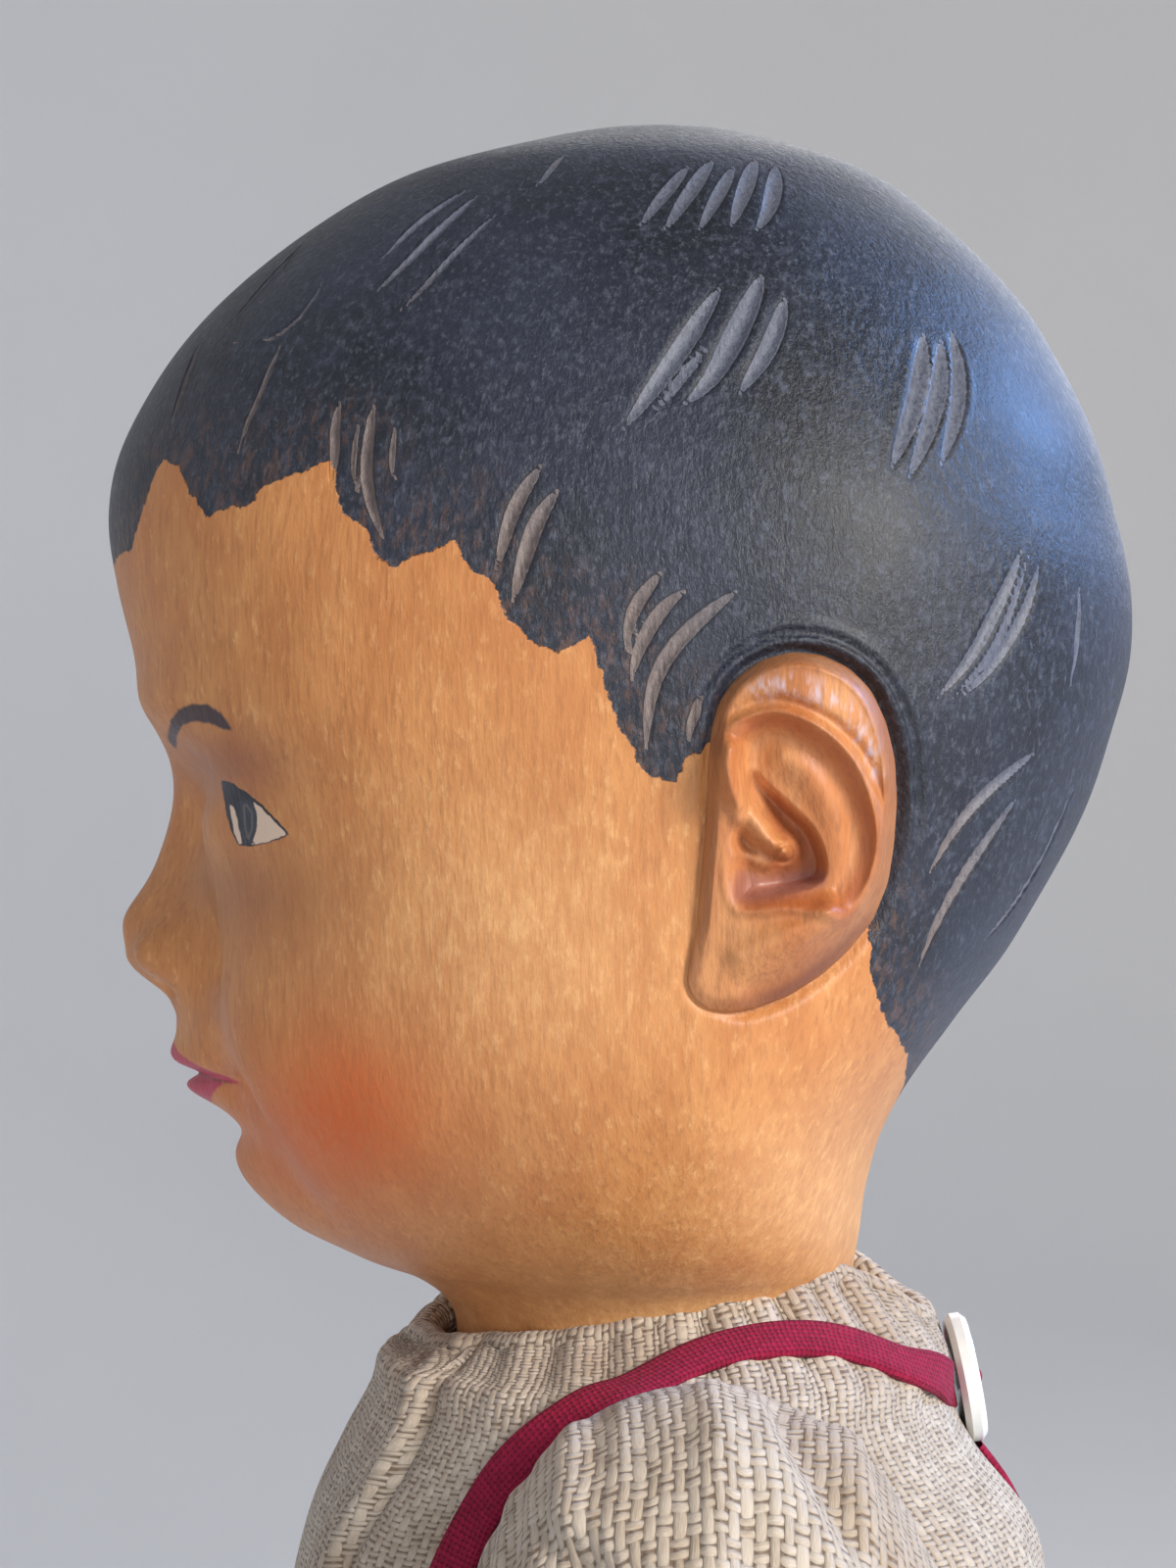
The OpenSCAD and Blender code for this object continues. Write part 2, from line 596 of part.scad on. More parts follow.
// Rings of the hand down from the wrist, with grooves between the fingers on both faces
function hand_ring(s) = let (
    w = s[1] * hand_len / 2,
    t = s[2] * hand_len / 2,
    bend = hand_curl * s[0] * s[0])
    [for (i = [0 : hand_n - 1]) let (
        a = i * 360 / hand_n,
        y = -w * sin(a),
        groove = finger_groove * s[3] * pow(abs(sin(360 * y / w)), 6) * abs(cos(a)),
        x = (t * pow(abs(cos(a)), 0.8) - groove) * sign(cos(a)))
        [-x - bend, y, -s[0] * hand_len]];
module hand() {
    steps = 2;
    last = len(hand_shares) - 1;
    loft([for (i = [last * steps : -1 : 0]) hand_ring(curve_at(hand_shares, i / steps))]);
    loft([for (s = [for (i = [len(thumb_shares) - 1 : -1 : 0]) thumb_shares[i]])
        [for (i = [0 : thumb_n - 1]) let (a = i * 360 / thumb_n)
            [-s[2] * hand_len * 0.9 * cos(a) - hand_curl / 2, -s[2] * hand_len * sin(a) - s[1] * hand_len,
                -s[0] * hand_len + s[2] * hand_len * sin(a) * 0.5]]]);
}
module forearm() {
    top = elbow_r * forearm_top_share;
    cope = elbow_r + joint_gap;
    start = -asin(sqrt(cope * cope - top * top) / cope);
    arm_frame() translate([0, 0, -upper_arm_len]) difference() {
        union() {
            difference() {
                rotate_extrude() polygon(concat(arc(cope, -90, start, 8),
                    [[elbow_r * forearm_belly_share, -forearm_len * forearm_belly_at_share],
                        [wrist_r * wrist_top_share, -forearm_len * wrist_top_at_share],
                        [wrist_r, -forearm_len], [wrist_r, -forearm_len - wrist_let],
                        [0, -forearm_len - wrist_let]]));
                bend_bevel(elbow_r, elbow_bend, -1);
            }
            tongue(elbow_tongue_r, tongue_w, elbow_r + tongue_root);
            translate([0, 0, -forearm_len]) resize([0, 0, 0]) union() hand();
        }
        cross_pin(peg_r + running_gap, 2 * elbow_r);
    }
}

module thigh() {
    neck = knee_r * knee_neck_share;
    translate([hip_span / 2, 0, hip_z]) difference() {
        union() {
            difference() {
                rotate_extrude() polygon(concat([[0, -pelvis_r / 3],
                    [thigh_r * thigh_top_share, -pelvis_r / 3],
                    [thigh_r, -pelvis_r * thigh_full_share], [thigh_r * thigh_mid_share, -thigh_len / 2],
                    [neck, -thigh_len + knee_r]], arc(knee_r, 16, -90, 14, -thigh_len)));
                cross_pin(pelvis_r + cope_gap, 3 * thigh_r);
                across(3 * thigh_r)
                    polygon([[0, 0], [-2 * pelvis_r, -2 * pelvis_r], [-2 * pelvis_r, 0]]);
            }
            tongue(hip_tongue_r, hip_tongue_w, pelvis_r + tongue_root);
        }
        cross_pin(hip_dowel_r + running_gap, 3 * thigh_r);
        translate([0, 0, -thigh_len]) {
            tongue_slot(knee_tongue_r, tongue_w, knee_bend, 0, 2 * knee_r);
            cross_pin(peg_r + glue_gap, 3 * knee_r);
            mirror([0, 0, 1]) bend_bevel(knee_r, knee_bend, 1);
        }
    }
}
module knee_peg() {
    translate([hip_span / 2, 0, knee_z]) peg(peg_r, 2 * knee_r - chamfer / 2);
}

function shoe_ring(s) = level_ring(s[0] * shoe_h, s[3] * shoe_w / 2, s[1] * shoe_len, s[2] * shoe_len,
    shoe_power, shoe_n, leg_y);
module lower_leg() {
    top = knee_r * calf_top_share;
    cope = knee_r + joint_gap;
    start = -asin(sqrt(cope * cope - top * top) / cope);
    shank = shin_len - shoe_h;
    translate([hip_span / 2, 0, knee_z]) difference() {
        union() {
            difference() {
                rotate_extrude() polygon(concat(arc(cope, -90, start, 8),
                    [for (c = calf_shares) [knee_r * c[0], -shank * c[1]]],
                    [for (c = ankle_shares) [ankle_r * c[0], -shank * c[1]]],
                    [[ankle_r, -shank - ankle_let], [0, -shank - ankle_let]]));
                bend_bevel(knee_r, knee_bend, 1);
            }
            tongue(knee_tongue_r, tongue_w, knee_r + tongue_root);
            translate([0, 0, -shin_len]) loft([for (s = shoe_shares) shoe_ring(s)]);
        }
        cross_pin(peg_r + running_gap, 2 * knee_r);
    }
}

// Sizes of the shirt at each station: height, half width, front, back and folds
waist_z = hip_z + waist_up;
snug = under_gap + linen;
neck_hole_r = neck_r + collar_gap;
yoke_w = torso_w / 2 + side_ease - neck_hole_r;
yoke_front = torso_at(1)[1] + shirt_ease * 0.3 - neck_hole_r;
yoke_back = torso_at(1)[2] + shirt_ease * 0.6 - neck_hole_r;
shirt_stations = concat(
    [for (s = shirt_shares) let (
        z = waist_z + s[0] * (torso_top - waist_z),
        t = torso_at((z - hip_z) / torso_len))
        [z, torso_w / 2 + (s[1] > 0 ? side_ease : snug), t[1] + max(snug, shirt_ease * s[1]),
            t[2] + max(snug, shirt_ease * s[2]), s[3]]],
    [for (s = yoke_shares) [torso_top + s[0] * yoke_rise, neck_hole_r + s[1] * yoke_w,
        neck_hole_r + s[2] * yoke_front, neck_hole_r + s[3] * yoke_back, 0]]);
// Share of the collar's drop that a station takes
function dip_at(t) = collar_dip * step_up(len(shirt_shares), len(shirt_stations) - 1, t);
// Outer surface of the shirt at an angle from the front and a station
function shirt_point(a, t) = let (
    s = curve_at(shirt_stations, t),
    k = corner(a, power_at(s[0])),
    fold = s[4] * fold_depth * cos(shirt_folds * a) * (1 - step_up(0.6, 0.9, abs(sin(a)))),
    x = s[1] * sin(a) * k,
    c = cos(a) > 0 ? s[2] : s[3],
    pleat = cos(a) > 0 && t > 1.5 ? pleat_t * (1 - step_up(pleat_w / 2, pleat_w / 2 + linen, abs(x))) : 0)
    [x, neck_y - ((c + fold) * cos(a) * k + pleat), s[0] - dip_at(t) * cos(a)];
function shirt_ring(t) = [for (i = [0 : shirt_n - 1]) shirt_point(i * 360 / shirt_n, t)];
// Ring on the inner side of the shirt at a station
function lining_ring(t) = let (
    s = shirt_stations[t],
    last = len(shirt_stations) - 1,
    drop = t > len(shirt_shares) - 1 && t < last ? linen : 0)
    [for (p = level_ring(s[0], s[1] - linen, s[2] - linen, s[3] - linen, power_at(s[0]), shirt_n))
        let (back = (p[1] - neck_y) / norm([p[0], p[1] - neck_y]))
        [p[0], p[1], p[2] - drop + dip_at(t) * back]];
module shirt_body() {
    last = len(shirt_stations) - 1;
    color("wheat") difference() {
        shell(concat([for (t = [0 : last]) shirt_ring(t)],
            [for (t = [last, last - 1, last - 2, last - 3, 10, 8, 5, 3, 1, 0]) lining_ring(t)]));
        translate([0, shoulder_y, shoulder_z]) cross_pin(shoulder_r * armhole_share, 2 * torso_w);
    }
}

// Sleeve: rings that turn about a line under the arm, then run down to the hem
sleeve_x = torso_w / 2 + side_ease + sleeve_gap;
sleeve_z = shoulder_z - shoulder_r * sleeve_drop_share;
function gather(a) = sleeve_fold * (cos(sleeve_folds * a) - 1) * (1 + cos(a)) / 4;
function cap_ring(s, skin) = let (
    reach = s[1] * shoulder_r,
    half = (reach - sleeve_inset) / 2 - skin,
    mid = (reach + sleeve_inset) / 2,
    deep = s[2] * shoulder_r - skin,
    fold = s[0] > 85 ? 0 : 1)
    [for (i = [0 : sleeve_n - 1]) let (
        a = i * 360 / sleeve_n,
        r = mid + (half + fold * gather(a)) * cos(a),
        across = (deep + fold * gather(a)) * sin(a))
        [sleeve_x + r * cos(s[0]), shoulder_y - across, sleeve_z + r * sin(s[0])]];
// Ring square to the arm, no nearer to the shirt than the cap is
function hem_ring(down, skin) = let (
    mid_x = shoulder_x + down * sin(arm_slant),
    mid_z = shoulder_z - down * cos(arm_slant),
    x = min(shoulder_r * sleeve_hem_x_share, (mid_x - sleeve_x) / cos(arm_slant)) - skin,
    y = shoulder_r * sleeve_hem_y_share - skin)
    [for (i = [0 : sleeve_n - 1]) let (a = i * 360 / sleeve_n, g = gather(a))
        [mid_x + (x + g) * cos(a) * cos(arm_slant), shoulder_y - (y + g) * sin(a),
            mid_z + (x + g) * cos(a) * sin(arm_slant)]];
module sleeve() {
    hem = upper_arm_len - sleeve_hem;
    from = shoulder_r * sleeve_drop_share;
    downs = [for (i = [1 : 3]) from + (hem - from) * i / 3];
    last = len(sleeve_shares) - 1;
    shell(concat([for (s = sleeve_shares) cap_ring(s, 0)], [for (d = downs) hem_ring(d, 0)],
        [for (i = [2 : -1 : 0]) hem_ring(downs[i], linen)],
        [for (i = [last : -1 : 0]) cap_ring(sleeve_shares[i], linen)]));
}

// Direction away from the shirt at an angle and a station
function unit(v) = v / norm(v);
function shirt_out(a, t) = unit(cross(shirt_point(a + 1, t) - shirt_point(a - 1, t),
    shirt_point(a, t + 0.1) - shirt_point(a, t - 0.1)));
// Tape laid along a way over the shirt
module tape(way) {
    count = (len(way) - 1) * brace_n;
    at = [for (i = [0 : count]) curve_at(way, i / brace_n)];
    mid = [for (p = at) shirt_point(p[0], p[1]) + shirt_out(p[0], p[1]) * brace_lift];
    loft([for (i = [0 : count]) let (
        out = shirt_out(at[i][0], at[i][1]),
        along = unit(mid[min(count, i + 1)] - mid[max(0, i - 1)]),
        wide = unit(cross(along, out)) * brace_w / 2,
        up = unit(cross(wide, along)) * brace_t)
        [mid[i] - wide + up, mid[i] + wide + up, mid[i] + wide, mid[i] - wide]]);
}

module back_button() {
    r = button_d / 2;
    place = shirt_point(180, button_station_share);
    out = shirt_out(180, button_station_share);
    lean = atan2(out[2], out[1]);
    lift = brace_lift + brace_t + joint_gap;
    color("white") translate(place + out * lift) rotate([lean - 90, 0, 0]) difference() {
        rotate_extrude() polygon([[0, 0], [r - button_rim, 0], [r, button_rim],
            [r, button_t - button_rim], [r - button_rim, button_t], [r - 3 * button_rim, button_t],
            [r - 4 * button_rim, button_t - button_rim], [0, button_t - button_rim]]);
        for (x = [-1, 1]) translate([x * thread_hole_x, 0, -over])
            cylinder(r = thread_hole_r, h = button_t + 2 * over);
    }
}

// Ring of the trouser seat, at a share of the way from its lower edge to the waist
function seat_point(a, share, grow) = let (
    back = step_up(0, 0.6, -cos(a)),
    low = hip_z + seat_front_up - (seat_front_up + seat_back_down) * back,
    z = low + (hip_z + waist_up - low) * share,
    t = torso_at(max(0, (z - hip_z) / torso_len)),
    k = corner(a, seat_power),
    band = z > hip_z + waist_up - waistband_h - joint_gap ? waistband_t : 0,
    more = grow > 0 ? grow + band + seat_ease * 0.5 * (1 - share) : 0,
    w = torso_w / 2 + seat_gap + more)
    [w * sin(a) * k, neck_y - (cos(a) > 0 ? t[1] : max(t[2], pelvis_back)) * cos(a) * k
        - (seat_gap + more) * cos(a) * k, z];
function seat_ring(share, grow) = [for (i = [0 : shirt_n - 1]) seat_point(i * 360 / shirt_n, share, grow)];
module trouser_seat() {
    color("tan") shell(concat([for (u = [0, 0.2, 0.42, 0.62, 0.66, 0.82, 1]) seat_ring(u, linen)],
        [for (u = [1, 0.5, 0]) seat_ring(u, 0)]));
}

// Ring of a trouser leg, at a share of the way from its curved top to its hem
function leg_ring(share, inner) = let (
    hem_z = -thigh_len + trouser_hem,
    snug = thigh_r + joint_gap,
    wide = hip_span / 2 - leg_gap,
    w = inner ? snug + (wide - linen - snug) * min(1, 2 * share) : wide,
    loose = leg_ease + leg_flare * share,
    d = inner ? snug + (loose - linen) * min(1, 2 * share) : thigh_r + loose,
    fold = inner && share < 0.3 ? 0 : leg_fold * (0.3 + share))
    [for (i = [0 : leg_n - 1]) let (
        a = i * 360 / leg_n,
        r = 1 - fold * (1 - cos(leg_folds * a)) / 2 / d,
        x = w * sin(a) * r,
        y = -d * cos(a) * r,
        top = -max(sqrt(leg_clear_r * leg_clear_r - y * y), -y))
        [hip_span / 2 + x, y, hip_z + top + (hem_z - top) * share]];
module trouser_leg() {
    downs = [0, 0.12, 0.3, 0.5, 0.7, 0.86, 1];
    last = len(downs) - 1;
    shell(concat([for (i = [last : -1 : 0]) leg_ring(downs[i], false)],
        [for (u = downs) leg_ring(u, true)]));
}

head();
neck_dowel();
neck_retaining_peg();
torso();
hip_dowel();
color("tan") shoulder_peg();  // shoulder_peg_left
color("tan") right_side() shoulder_peg();  // shoulder_peg_right
color("burlywood") upper_arm();  // upper_arm_left
color("burlywood") right_side() upper_arm();  // upper_arm_right
color("peru") elbow_peg();  // elbow_peg_left
color("peru") right_side() elbow_peg();  // elbow_peg_right
color("sienna") forearm();  // forearm_left
color("sienna") right_side() forearm();  // forearm_right
color("burlywood") thigh();  // thigh_left
color("burlywood") right_side() thigh();  // thigh_right
color("peru") knee_peg();  // knee_peg_left
color("peru") right_side() knee_peg();  // knee_peg_right
color("sienna") lower_leg();  // lower_leg_left
color("sienna") right_side() lower_leg();  // lower_leg_right
shirt_body();
color("wheat") sleeve();  // sleeve_left
color("wheat") right_side() sleeve();  // sleeve_right
color("firebrick") tape(brace_way_shares);  // brace_left
color("firebrick") right_side() tape(brace_way_shares);  // brace_right
color("firebrick") tape(tail_way_shares);  // brace_tail
back_button();
trouser_seat();
color("tan") trouser_leg();  // trouser_leg_left
color("tan") right_side() trouser_leg();  // trouser_leg_right
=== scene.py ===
import math

import bpy
import numpy as np
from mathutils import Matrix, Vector


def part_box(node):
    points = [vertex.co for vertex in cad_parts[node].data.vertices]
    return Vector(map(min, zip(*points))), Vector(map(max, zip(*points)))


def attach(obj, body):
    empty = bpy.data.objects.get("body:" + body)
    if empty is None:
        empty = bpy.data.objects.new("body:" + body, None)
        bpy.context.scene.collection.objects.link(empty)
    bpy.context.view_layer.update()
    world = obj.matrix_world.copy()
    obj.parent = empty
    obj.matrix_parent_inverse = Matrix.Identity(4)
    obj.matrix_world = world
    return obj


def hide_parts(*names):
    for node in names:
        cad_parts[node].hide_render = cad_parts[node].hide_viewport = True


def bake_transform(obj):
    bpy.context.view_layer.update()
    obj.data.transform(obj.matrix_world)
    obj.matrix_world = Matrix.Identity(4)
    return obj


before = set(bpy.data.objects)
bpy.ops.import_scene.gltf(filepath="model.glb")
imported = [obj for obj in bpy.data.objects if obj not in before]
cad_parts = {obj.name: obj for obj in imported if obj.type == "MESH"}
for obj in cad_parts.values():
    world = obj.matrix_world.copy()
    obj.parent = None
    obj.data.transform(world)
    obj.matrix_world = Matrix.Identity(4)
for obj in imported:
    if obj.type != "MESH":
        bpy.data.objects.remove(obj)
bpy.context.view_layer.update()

MM = 0.001
SIDES = (("left", 1), ("right", -1))

# The doll's places and sizes in mm, as in the solids
HIP_X, HIP_Z, KNEE_Z = 16.5, 172.0, 88.0
SHOULDER_X, SHOULDER_Y, SHOULDER_Z, SHOULDER_R = 38.64, 6.0, 286.0, 11
ARM_SLANT = math.radians(8)
UPPER_ARM, FOREARM, ELBOW_R, ELBOW_BEND = 55.0, 44.0, 8.5, 105
KNEE_R, KNEE_BEND, ANKLE = 10.5, 100, 66.0
NECK_Y, NECK_R = 2.5, 16.5
TORSO_W, TORSO_D, TORSO_LEN = 56.0, 40.0, 114.0
WAIST_Z = HIP_Z + 38
TORSO_TOP = HIP_Z + 1.12 * TORSO_LEN

# The camera: its distance from the doll's middle and its aim in mm, the picture's size, and pixels to a mm
CAM_DIST = 300.0
AIM = np.array([0.0, -2.75, 349.4])
PICTURE_W, PICTURE_H = 1200, 1600
PX = 12.0


# Numbers and lines
def smooth(a, b, x):
    t = np.clip((x - a) / (b - a), 0, 1)
    return t * t * (3 - 2 * t)


def ridge(x, at, half):
    """1 at a place, fading to nothing on both sides of it."""
    return np.exp(-((x - at) / half) ** 2)


def hill(a, b, a0, b0, half_a, half_b):
    return ridge(a, a0, half_a) * ridge(b, b0, half_b)


def unit(v):
    return v / np.maximum(np.linalg.norm(v, axis=-1, keepdims=True), 1e-9)


def mirrored(P):
    return P * [-1, 1, 1]


def catmull(table, t):
    """A smooth curve through the rows of a table, at steps that count rows."""
    last = len(table) - 1
    i = np.clip(np.floor(t).astype(int), 0, last - 1)
    u = (t - i)[:, None]
    p1, p2 = table[i], table[i + 1]
    m1 = (p2 - table[np.maximum(i - 1, 0)]) / 2
    m2 = (table[np.minimum(i + 2, last)] - p1) / 2
    return ((2 * u**3 - 3 * u**2 + 1) * p1 + (u**3 - 2 * u**2 + u) * m1
            + (-2 * u**3 + 3 * u**2) * p2 + (u**3 - u**2) * m2)


def curve_rows(table, n):
    table = np.asarray(table, float)
    return catmull(table, np.linspace(0, len(table) - 1, n))


def rounded(outline, n=5, closed=True):
    """A smooth line through the points of an outline."""
    outline = np.asarray(outline, float)
    if not closed:
        return curve_rows(outline, (len(outline) - 1) * n + 1)
    ring = np.vstack([outline[-1:], outline, outline[:2]])
    return catmull(ring, np.linspace(1, len(ring) - 2, (len(ring) - 3) * n, endpoint=False))


def relaxed(line, times):
    """A line with its inner points drawn toward their neighbours."""
    for _ in range(times):
        line[1:-1] = (line[:-2] + 2 * line[1:-1] + line[2:]) / 4
    return line


def inside_distance(points, outline):
    """Signed distance to a closed outline, positive inside."""
    outline = np.asarray(outline, float)
    best = np.full(len(points), 1e9)
    inside = np.zeros(len(points), bool)
    for p, q in zip(outline, np.roll(outline, -1, 0)):
        d = q - p
        t = np.clip(((points - p) @ d) / max(d @ d, 1e-12), 0, 1)
        best = np.minimum(best, np.hypot(*(points - p - t[:, None] * d).T))
        crosses = (p[1] > points[:, 1]) != (q[1] > points[:, 1])
        meets = p[0] + (points[:, 1] - p[1]) / (q[1] - p[1] + 1e-12) * d[0]
        inside ^= crosses & (points[:, 0] < meets)
    return np.where(inside, best, -best)


def line_distance(points, line):
    """Distance to an open line, and the share of the way along it of the nearest place."""
    line = np.asarray(line, float)
    lengths = np.linalg.norm(np.diff(line, axis=0), axis=1)
    run = np.concatenate([[0], np.cumsum(lengths)])
    best = np.full(len(points), 1e9)
    share = np.zeros(len(points))
    for k, d in enumerate(np.diff(line, axis=0)):
        t = np.clip(((points - line[k]) @ d) / max(d @ d, 1e-12), 0, 1)
        r = np.linalg.norm(points - line[k] - t[:, None] * d, axis=1)
        near = r < best
        best = np.where(near, r, best)
        share = np.where(near, (run[k] + t * lengths[k]) / run[-1], share)
    return best, share


def corner(a, power):
    """Reach of a rounded square at an angle."""
    return (np.abs(np.sin(a)) ** power + np.abs(np.cos(a)) ** power) ** (-1 / power)


# Meshes
def grid_mesh(name, P, closed=True, caps=(False, False), flip=False, uv=None):
    """A mesh through rows x columns x 3 places in mm; columns run round and rows along."""
    rows, columns = P.shape[:2]
    j, i = np.meshgrid(np.arange(rows - 1), np.arange(columns if closed else columns - 1), indexing="ij")
    near, far, beside = j * columns, (j + 1) * columns, (i + 1) % columns
    quads = np.stack([near + i, near + beside, far + beside, far + i], -1).reshape(-1, 4)
    faces = (quads[:, ::-1] if flip else quads).tolist()
    first = list(range(columns))
    last = [(rows - 1) * columns + k for k in first]
    if caps[0]:
        faces.append(first if flip else first[::-1])
    if caps[1]:
        faces.append(last[::-1] if flip else last)
    mesh = bpy.data.meshes.new(name)
    mesh.from_pydata((P.reshape(-1, 3) * MM).tolist(), [], faces)
    if uv is not None:
        corners = np.zeros(len(mesh.loops), int)
        mesh.loops.foreach_get("vertex_index", corners)
        places = uv.reshape(-1, 2)[corners].astype(np.float32)
        mesh.uv_layers.new(name="cloth").data.foreach_set("uv", places.ravel())
    mesh.polygons.foreach_set("use_smooth", [True] * len(mesh.polygons))
    mesh.update()
    ob = bpy.data.objects.new(name, mesh)
    bpy.context.scene.collection.objects.link(ob)
    return ob


def grid_normals(P, closed=True):
    """Directions out of a grid; an open one has its first and last column in one place."""
    around = np.roll(P, -1, 1) - np.roll(P, 1, 1)
    if not closed:
        around = np.gradient(P, axis=1)
        around[:, 0] = around[:, -1] = P[:, 1] - P[:, -2]
    return unit(np.cross(around, np.gradient(P, axis=0)))


def attributes(ob, **fields):
    for name, values in fields.items():
        field = ob.data.attributes.new(name, "FLOAT", "POINT")
        field.data.foreach_set("value", np.asarray(values, np.float32).ravel())


def cloth_uv(P, row=None):
    """Millimetres across and along a grid of cloth; across as in one row, where that is given."""
    along = np.linalg.norm(np.diff(P, axis=0), axis=-1).mean(1)
    v = np.concatenate([[0], np.cumsum(along)])
    across = np.linalg.norm(np.diff(P, axis=1), axis=-1)
    u = np.concatenate([np.zeros((len(P), 1)), np.cumsum(across, 1)], 1)
    middle = P.shape[1] // 2
    u = u - u[:, middle:middle + 1]
    if row is not None:
        u = np.repeat(u[row:row + 1], len(P), 0)
    return np.stack([u, np.repeat(v[:, None], P.shape[1], 1)], -1)


def cloth_thickness(ob, thickness):
    """Gives a sheet its thickness, inward."""
    solid = ob.modifiers.new("cloth", "SOLIDIFY")
    solid.thickness = thickness * MM
    solid.offset = -1


# Shaders
def lin(*rgb):
    """A colour given as 0 to 255, in the renderer's linear values."""
    shares = [v / 255 for v in rgb]
    return tuple(v / 12.92 if v <= 0.04045 else ((v + 0.055) / 1.055) ** 2.4 for v in shares)


class Value:
    """One output of a shader node, with plain sums."""

    def __init__(self, nodes, socket):
        self.nodes, self.socket = nodes, socket

    def __add__(self, other):
        return self.nodes.math("ADD", self, other)

    def __sub__(self, other):
        return self.nodes.math("SUBTRACT", self, other)

    def __rsub__(self, other):
        return self.nodes.math("SUBTRACT", other, self)

    def __mul__(self, other):
        return self.nodes.math("MULTIPLY", self, other)

    def __truediv__(self, other):
        return self.nodes.math("DIVIDE", self, other)

    def __gt__(self, other):
        return self.nodes.math("GREATER_THAN", self, other)

    def __abs__(self):
        return self.nodes.math("ABSOLUTE", self)


class Nodes:
    """A material built node by node on one Principled shader."""

    def __init__(self, name):
        self.mat = bpy.data.materials.new(name)
        self.mat.use_nodes = True
        self.tree = self.mat.node_tree
        self.tree.nodes.clear()
        out = self.tree.nodes.new("ShaderNodeOutputMaterial")
        self.bsdf = self.tree.nodes.new("ShaderNodeBsdfPrincipled")
        self.tree.links.new(self.bsdf.outputs[0], out.inputs[0])

    def new(self, kind, *inputs, out=0, **settings):
        node = self.tree.nodes.new("ShaderNode" + kind)
        for key, value in settings.items():
            setattr(node, key, value)
        for key, value in inputs:
            self.put(node.inputs[key], value)
        return Value(self, node.outputs[out])

    def put(self, socket, v):
        if isinstance(v, Value):
            self.tree.links.new(v.socket, socket)
        elif isinstance(v, tuple) and len(v) == 3 and len(socket.default_value) == 4:
            socket.default_value = (*v, 1)
        else:
            socket.default_value = v

    def set(self, **values):
        for key, value in values.items():
            self.put(self.bsdf.inputs[key.replace("_", " ")], value)

    def math(self, operation, *values):
        return self.new("Math", *enumerate(values), operation=operation)

    def attr(self, name):
        return self.new("Attribute", attribute_name=name, out="Fac")

    def coords(self):
        return self.new("TexCoord", out="Object")

    def split(self, v):
        node = self.new("SeparateXYZ", (0, v)).socket.node
        return [Value(self, socket) for socket in node.outputs]

    def join(self, *places):
        return self.new("CombineXYZ", *enumerate(places))

    def scaled(self, v, by):
        return self.new("VectorMath", (0, v), (1, by), operation="MULTIPLY")

    def noise(self, v, scale, detail=3.0, rough=0.55, distort=0.0):
        return self.new("TexNoise", ("Vector", v), ("Scale", scale), ("Detail", detail), ("Roughness", rough),
                        ("Distortion", distort), out="Fac")

    def mix(self, share, a, b):
        return self.new("Mix", (0, share), (6, a), (7, b), out=2, data_type="RGBA", clamp_factor=True)

    def band(self, v, lo, hi, out_lo=0.0, out_hi=1.0, kind="SMOOTHSTEP"):
        return self.new("MapRange", *enumerate((v, lo, hi, out_lo, out_hi)), interpolation_type=kind)

    def bump(self, height, distance, strength=1.0):
        return self.new("Bump", ("Strength", strength), ("Distance", distance), ("Height", height))


# The plain form of the head
# height, front, back, half width, middle, corner power in front and behind
ROWS = np.array([
    [292.0, -14.0, 19.0, 16.5, 2.5, 2.0, 2.0], [300.0, -14.0, 19.0, 16.5, 2.5, 2.0, 2.0],
    [305.0, -14.2, 19.2, 16.9, 2.5, 2.0, 2.0], [308.0, -17.4, 19.6, 19.0, 2.6, 2.0, 2.0],
    [310.0, -22.4, 19.9, 22.2, 2.8, 2.0, 2.0], [312.5, -26.4, 20.3, 25.6, 3.2, 2.0, 2.0],
    [316.0, -28.4, 20.8, 29.0, 3.6, 2.05, 2.0], [320.5, -29.6, 22.0, 31.9, 4.0, 2.12, 2.0],
    [325.0, -30.6, 24.4, 33.8, 4.4, 2.16, 2.0], [330.0, -32.0, 28.2, 34.9, 4.8, 2.16, 2.0],
    [336.0, -33.6, 32.8, 35.4, 5.2, 2.16, 2.0], [342.0, -35.4, 36.4, 35.7, 5.6, 2.16, 2.0],
    [348.0, -37.2, 39.4, 36.2, 6.0, 2.2, 2.0], [354.0, -39.2, 41.4, 36.8, 6.4, 2.25, 2.05],
    [360.0, -40.9, 42.8, 37.0, 6.8, 2.2, 2.05], [366.0, -42.4, 42.9, 36.9, 7.0, 2.15, 2.05],
    [372.0, -43.2, 41.6, 36.1, 7.0, 2.1, 2.05], [378.0, -41.9, 40.0, 34.3, 6.6, 2.1, 2.05],
    [384.5, -38.4, 37.1, 31.3, 6.2, 2.05, 2.0], [390.5, -33.2, 33.2, 27.3, 5.6, 2.0, 2.0],
    [396.0, -26.4, 27.7, 22.0, 5.0, 2.0, 2.0], [400.5, -18.5, 21.7, 15.9, 4.2, 2.0, 2.0],
    [403.5, -8.2, 13.9, 8.6, 3.5, 2.0, 2.0], [404.7, -2.0, 8.5, 4.2, 3.2, 2.0, 2.0],
    [405.0, 3.0, 3.0, 0.05, 3.0, 2.0, 2.0]])

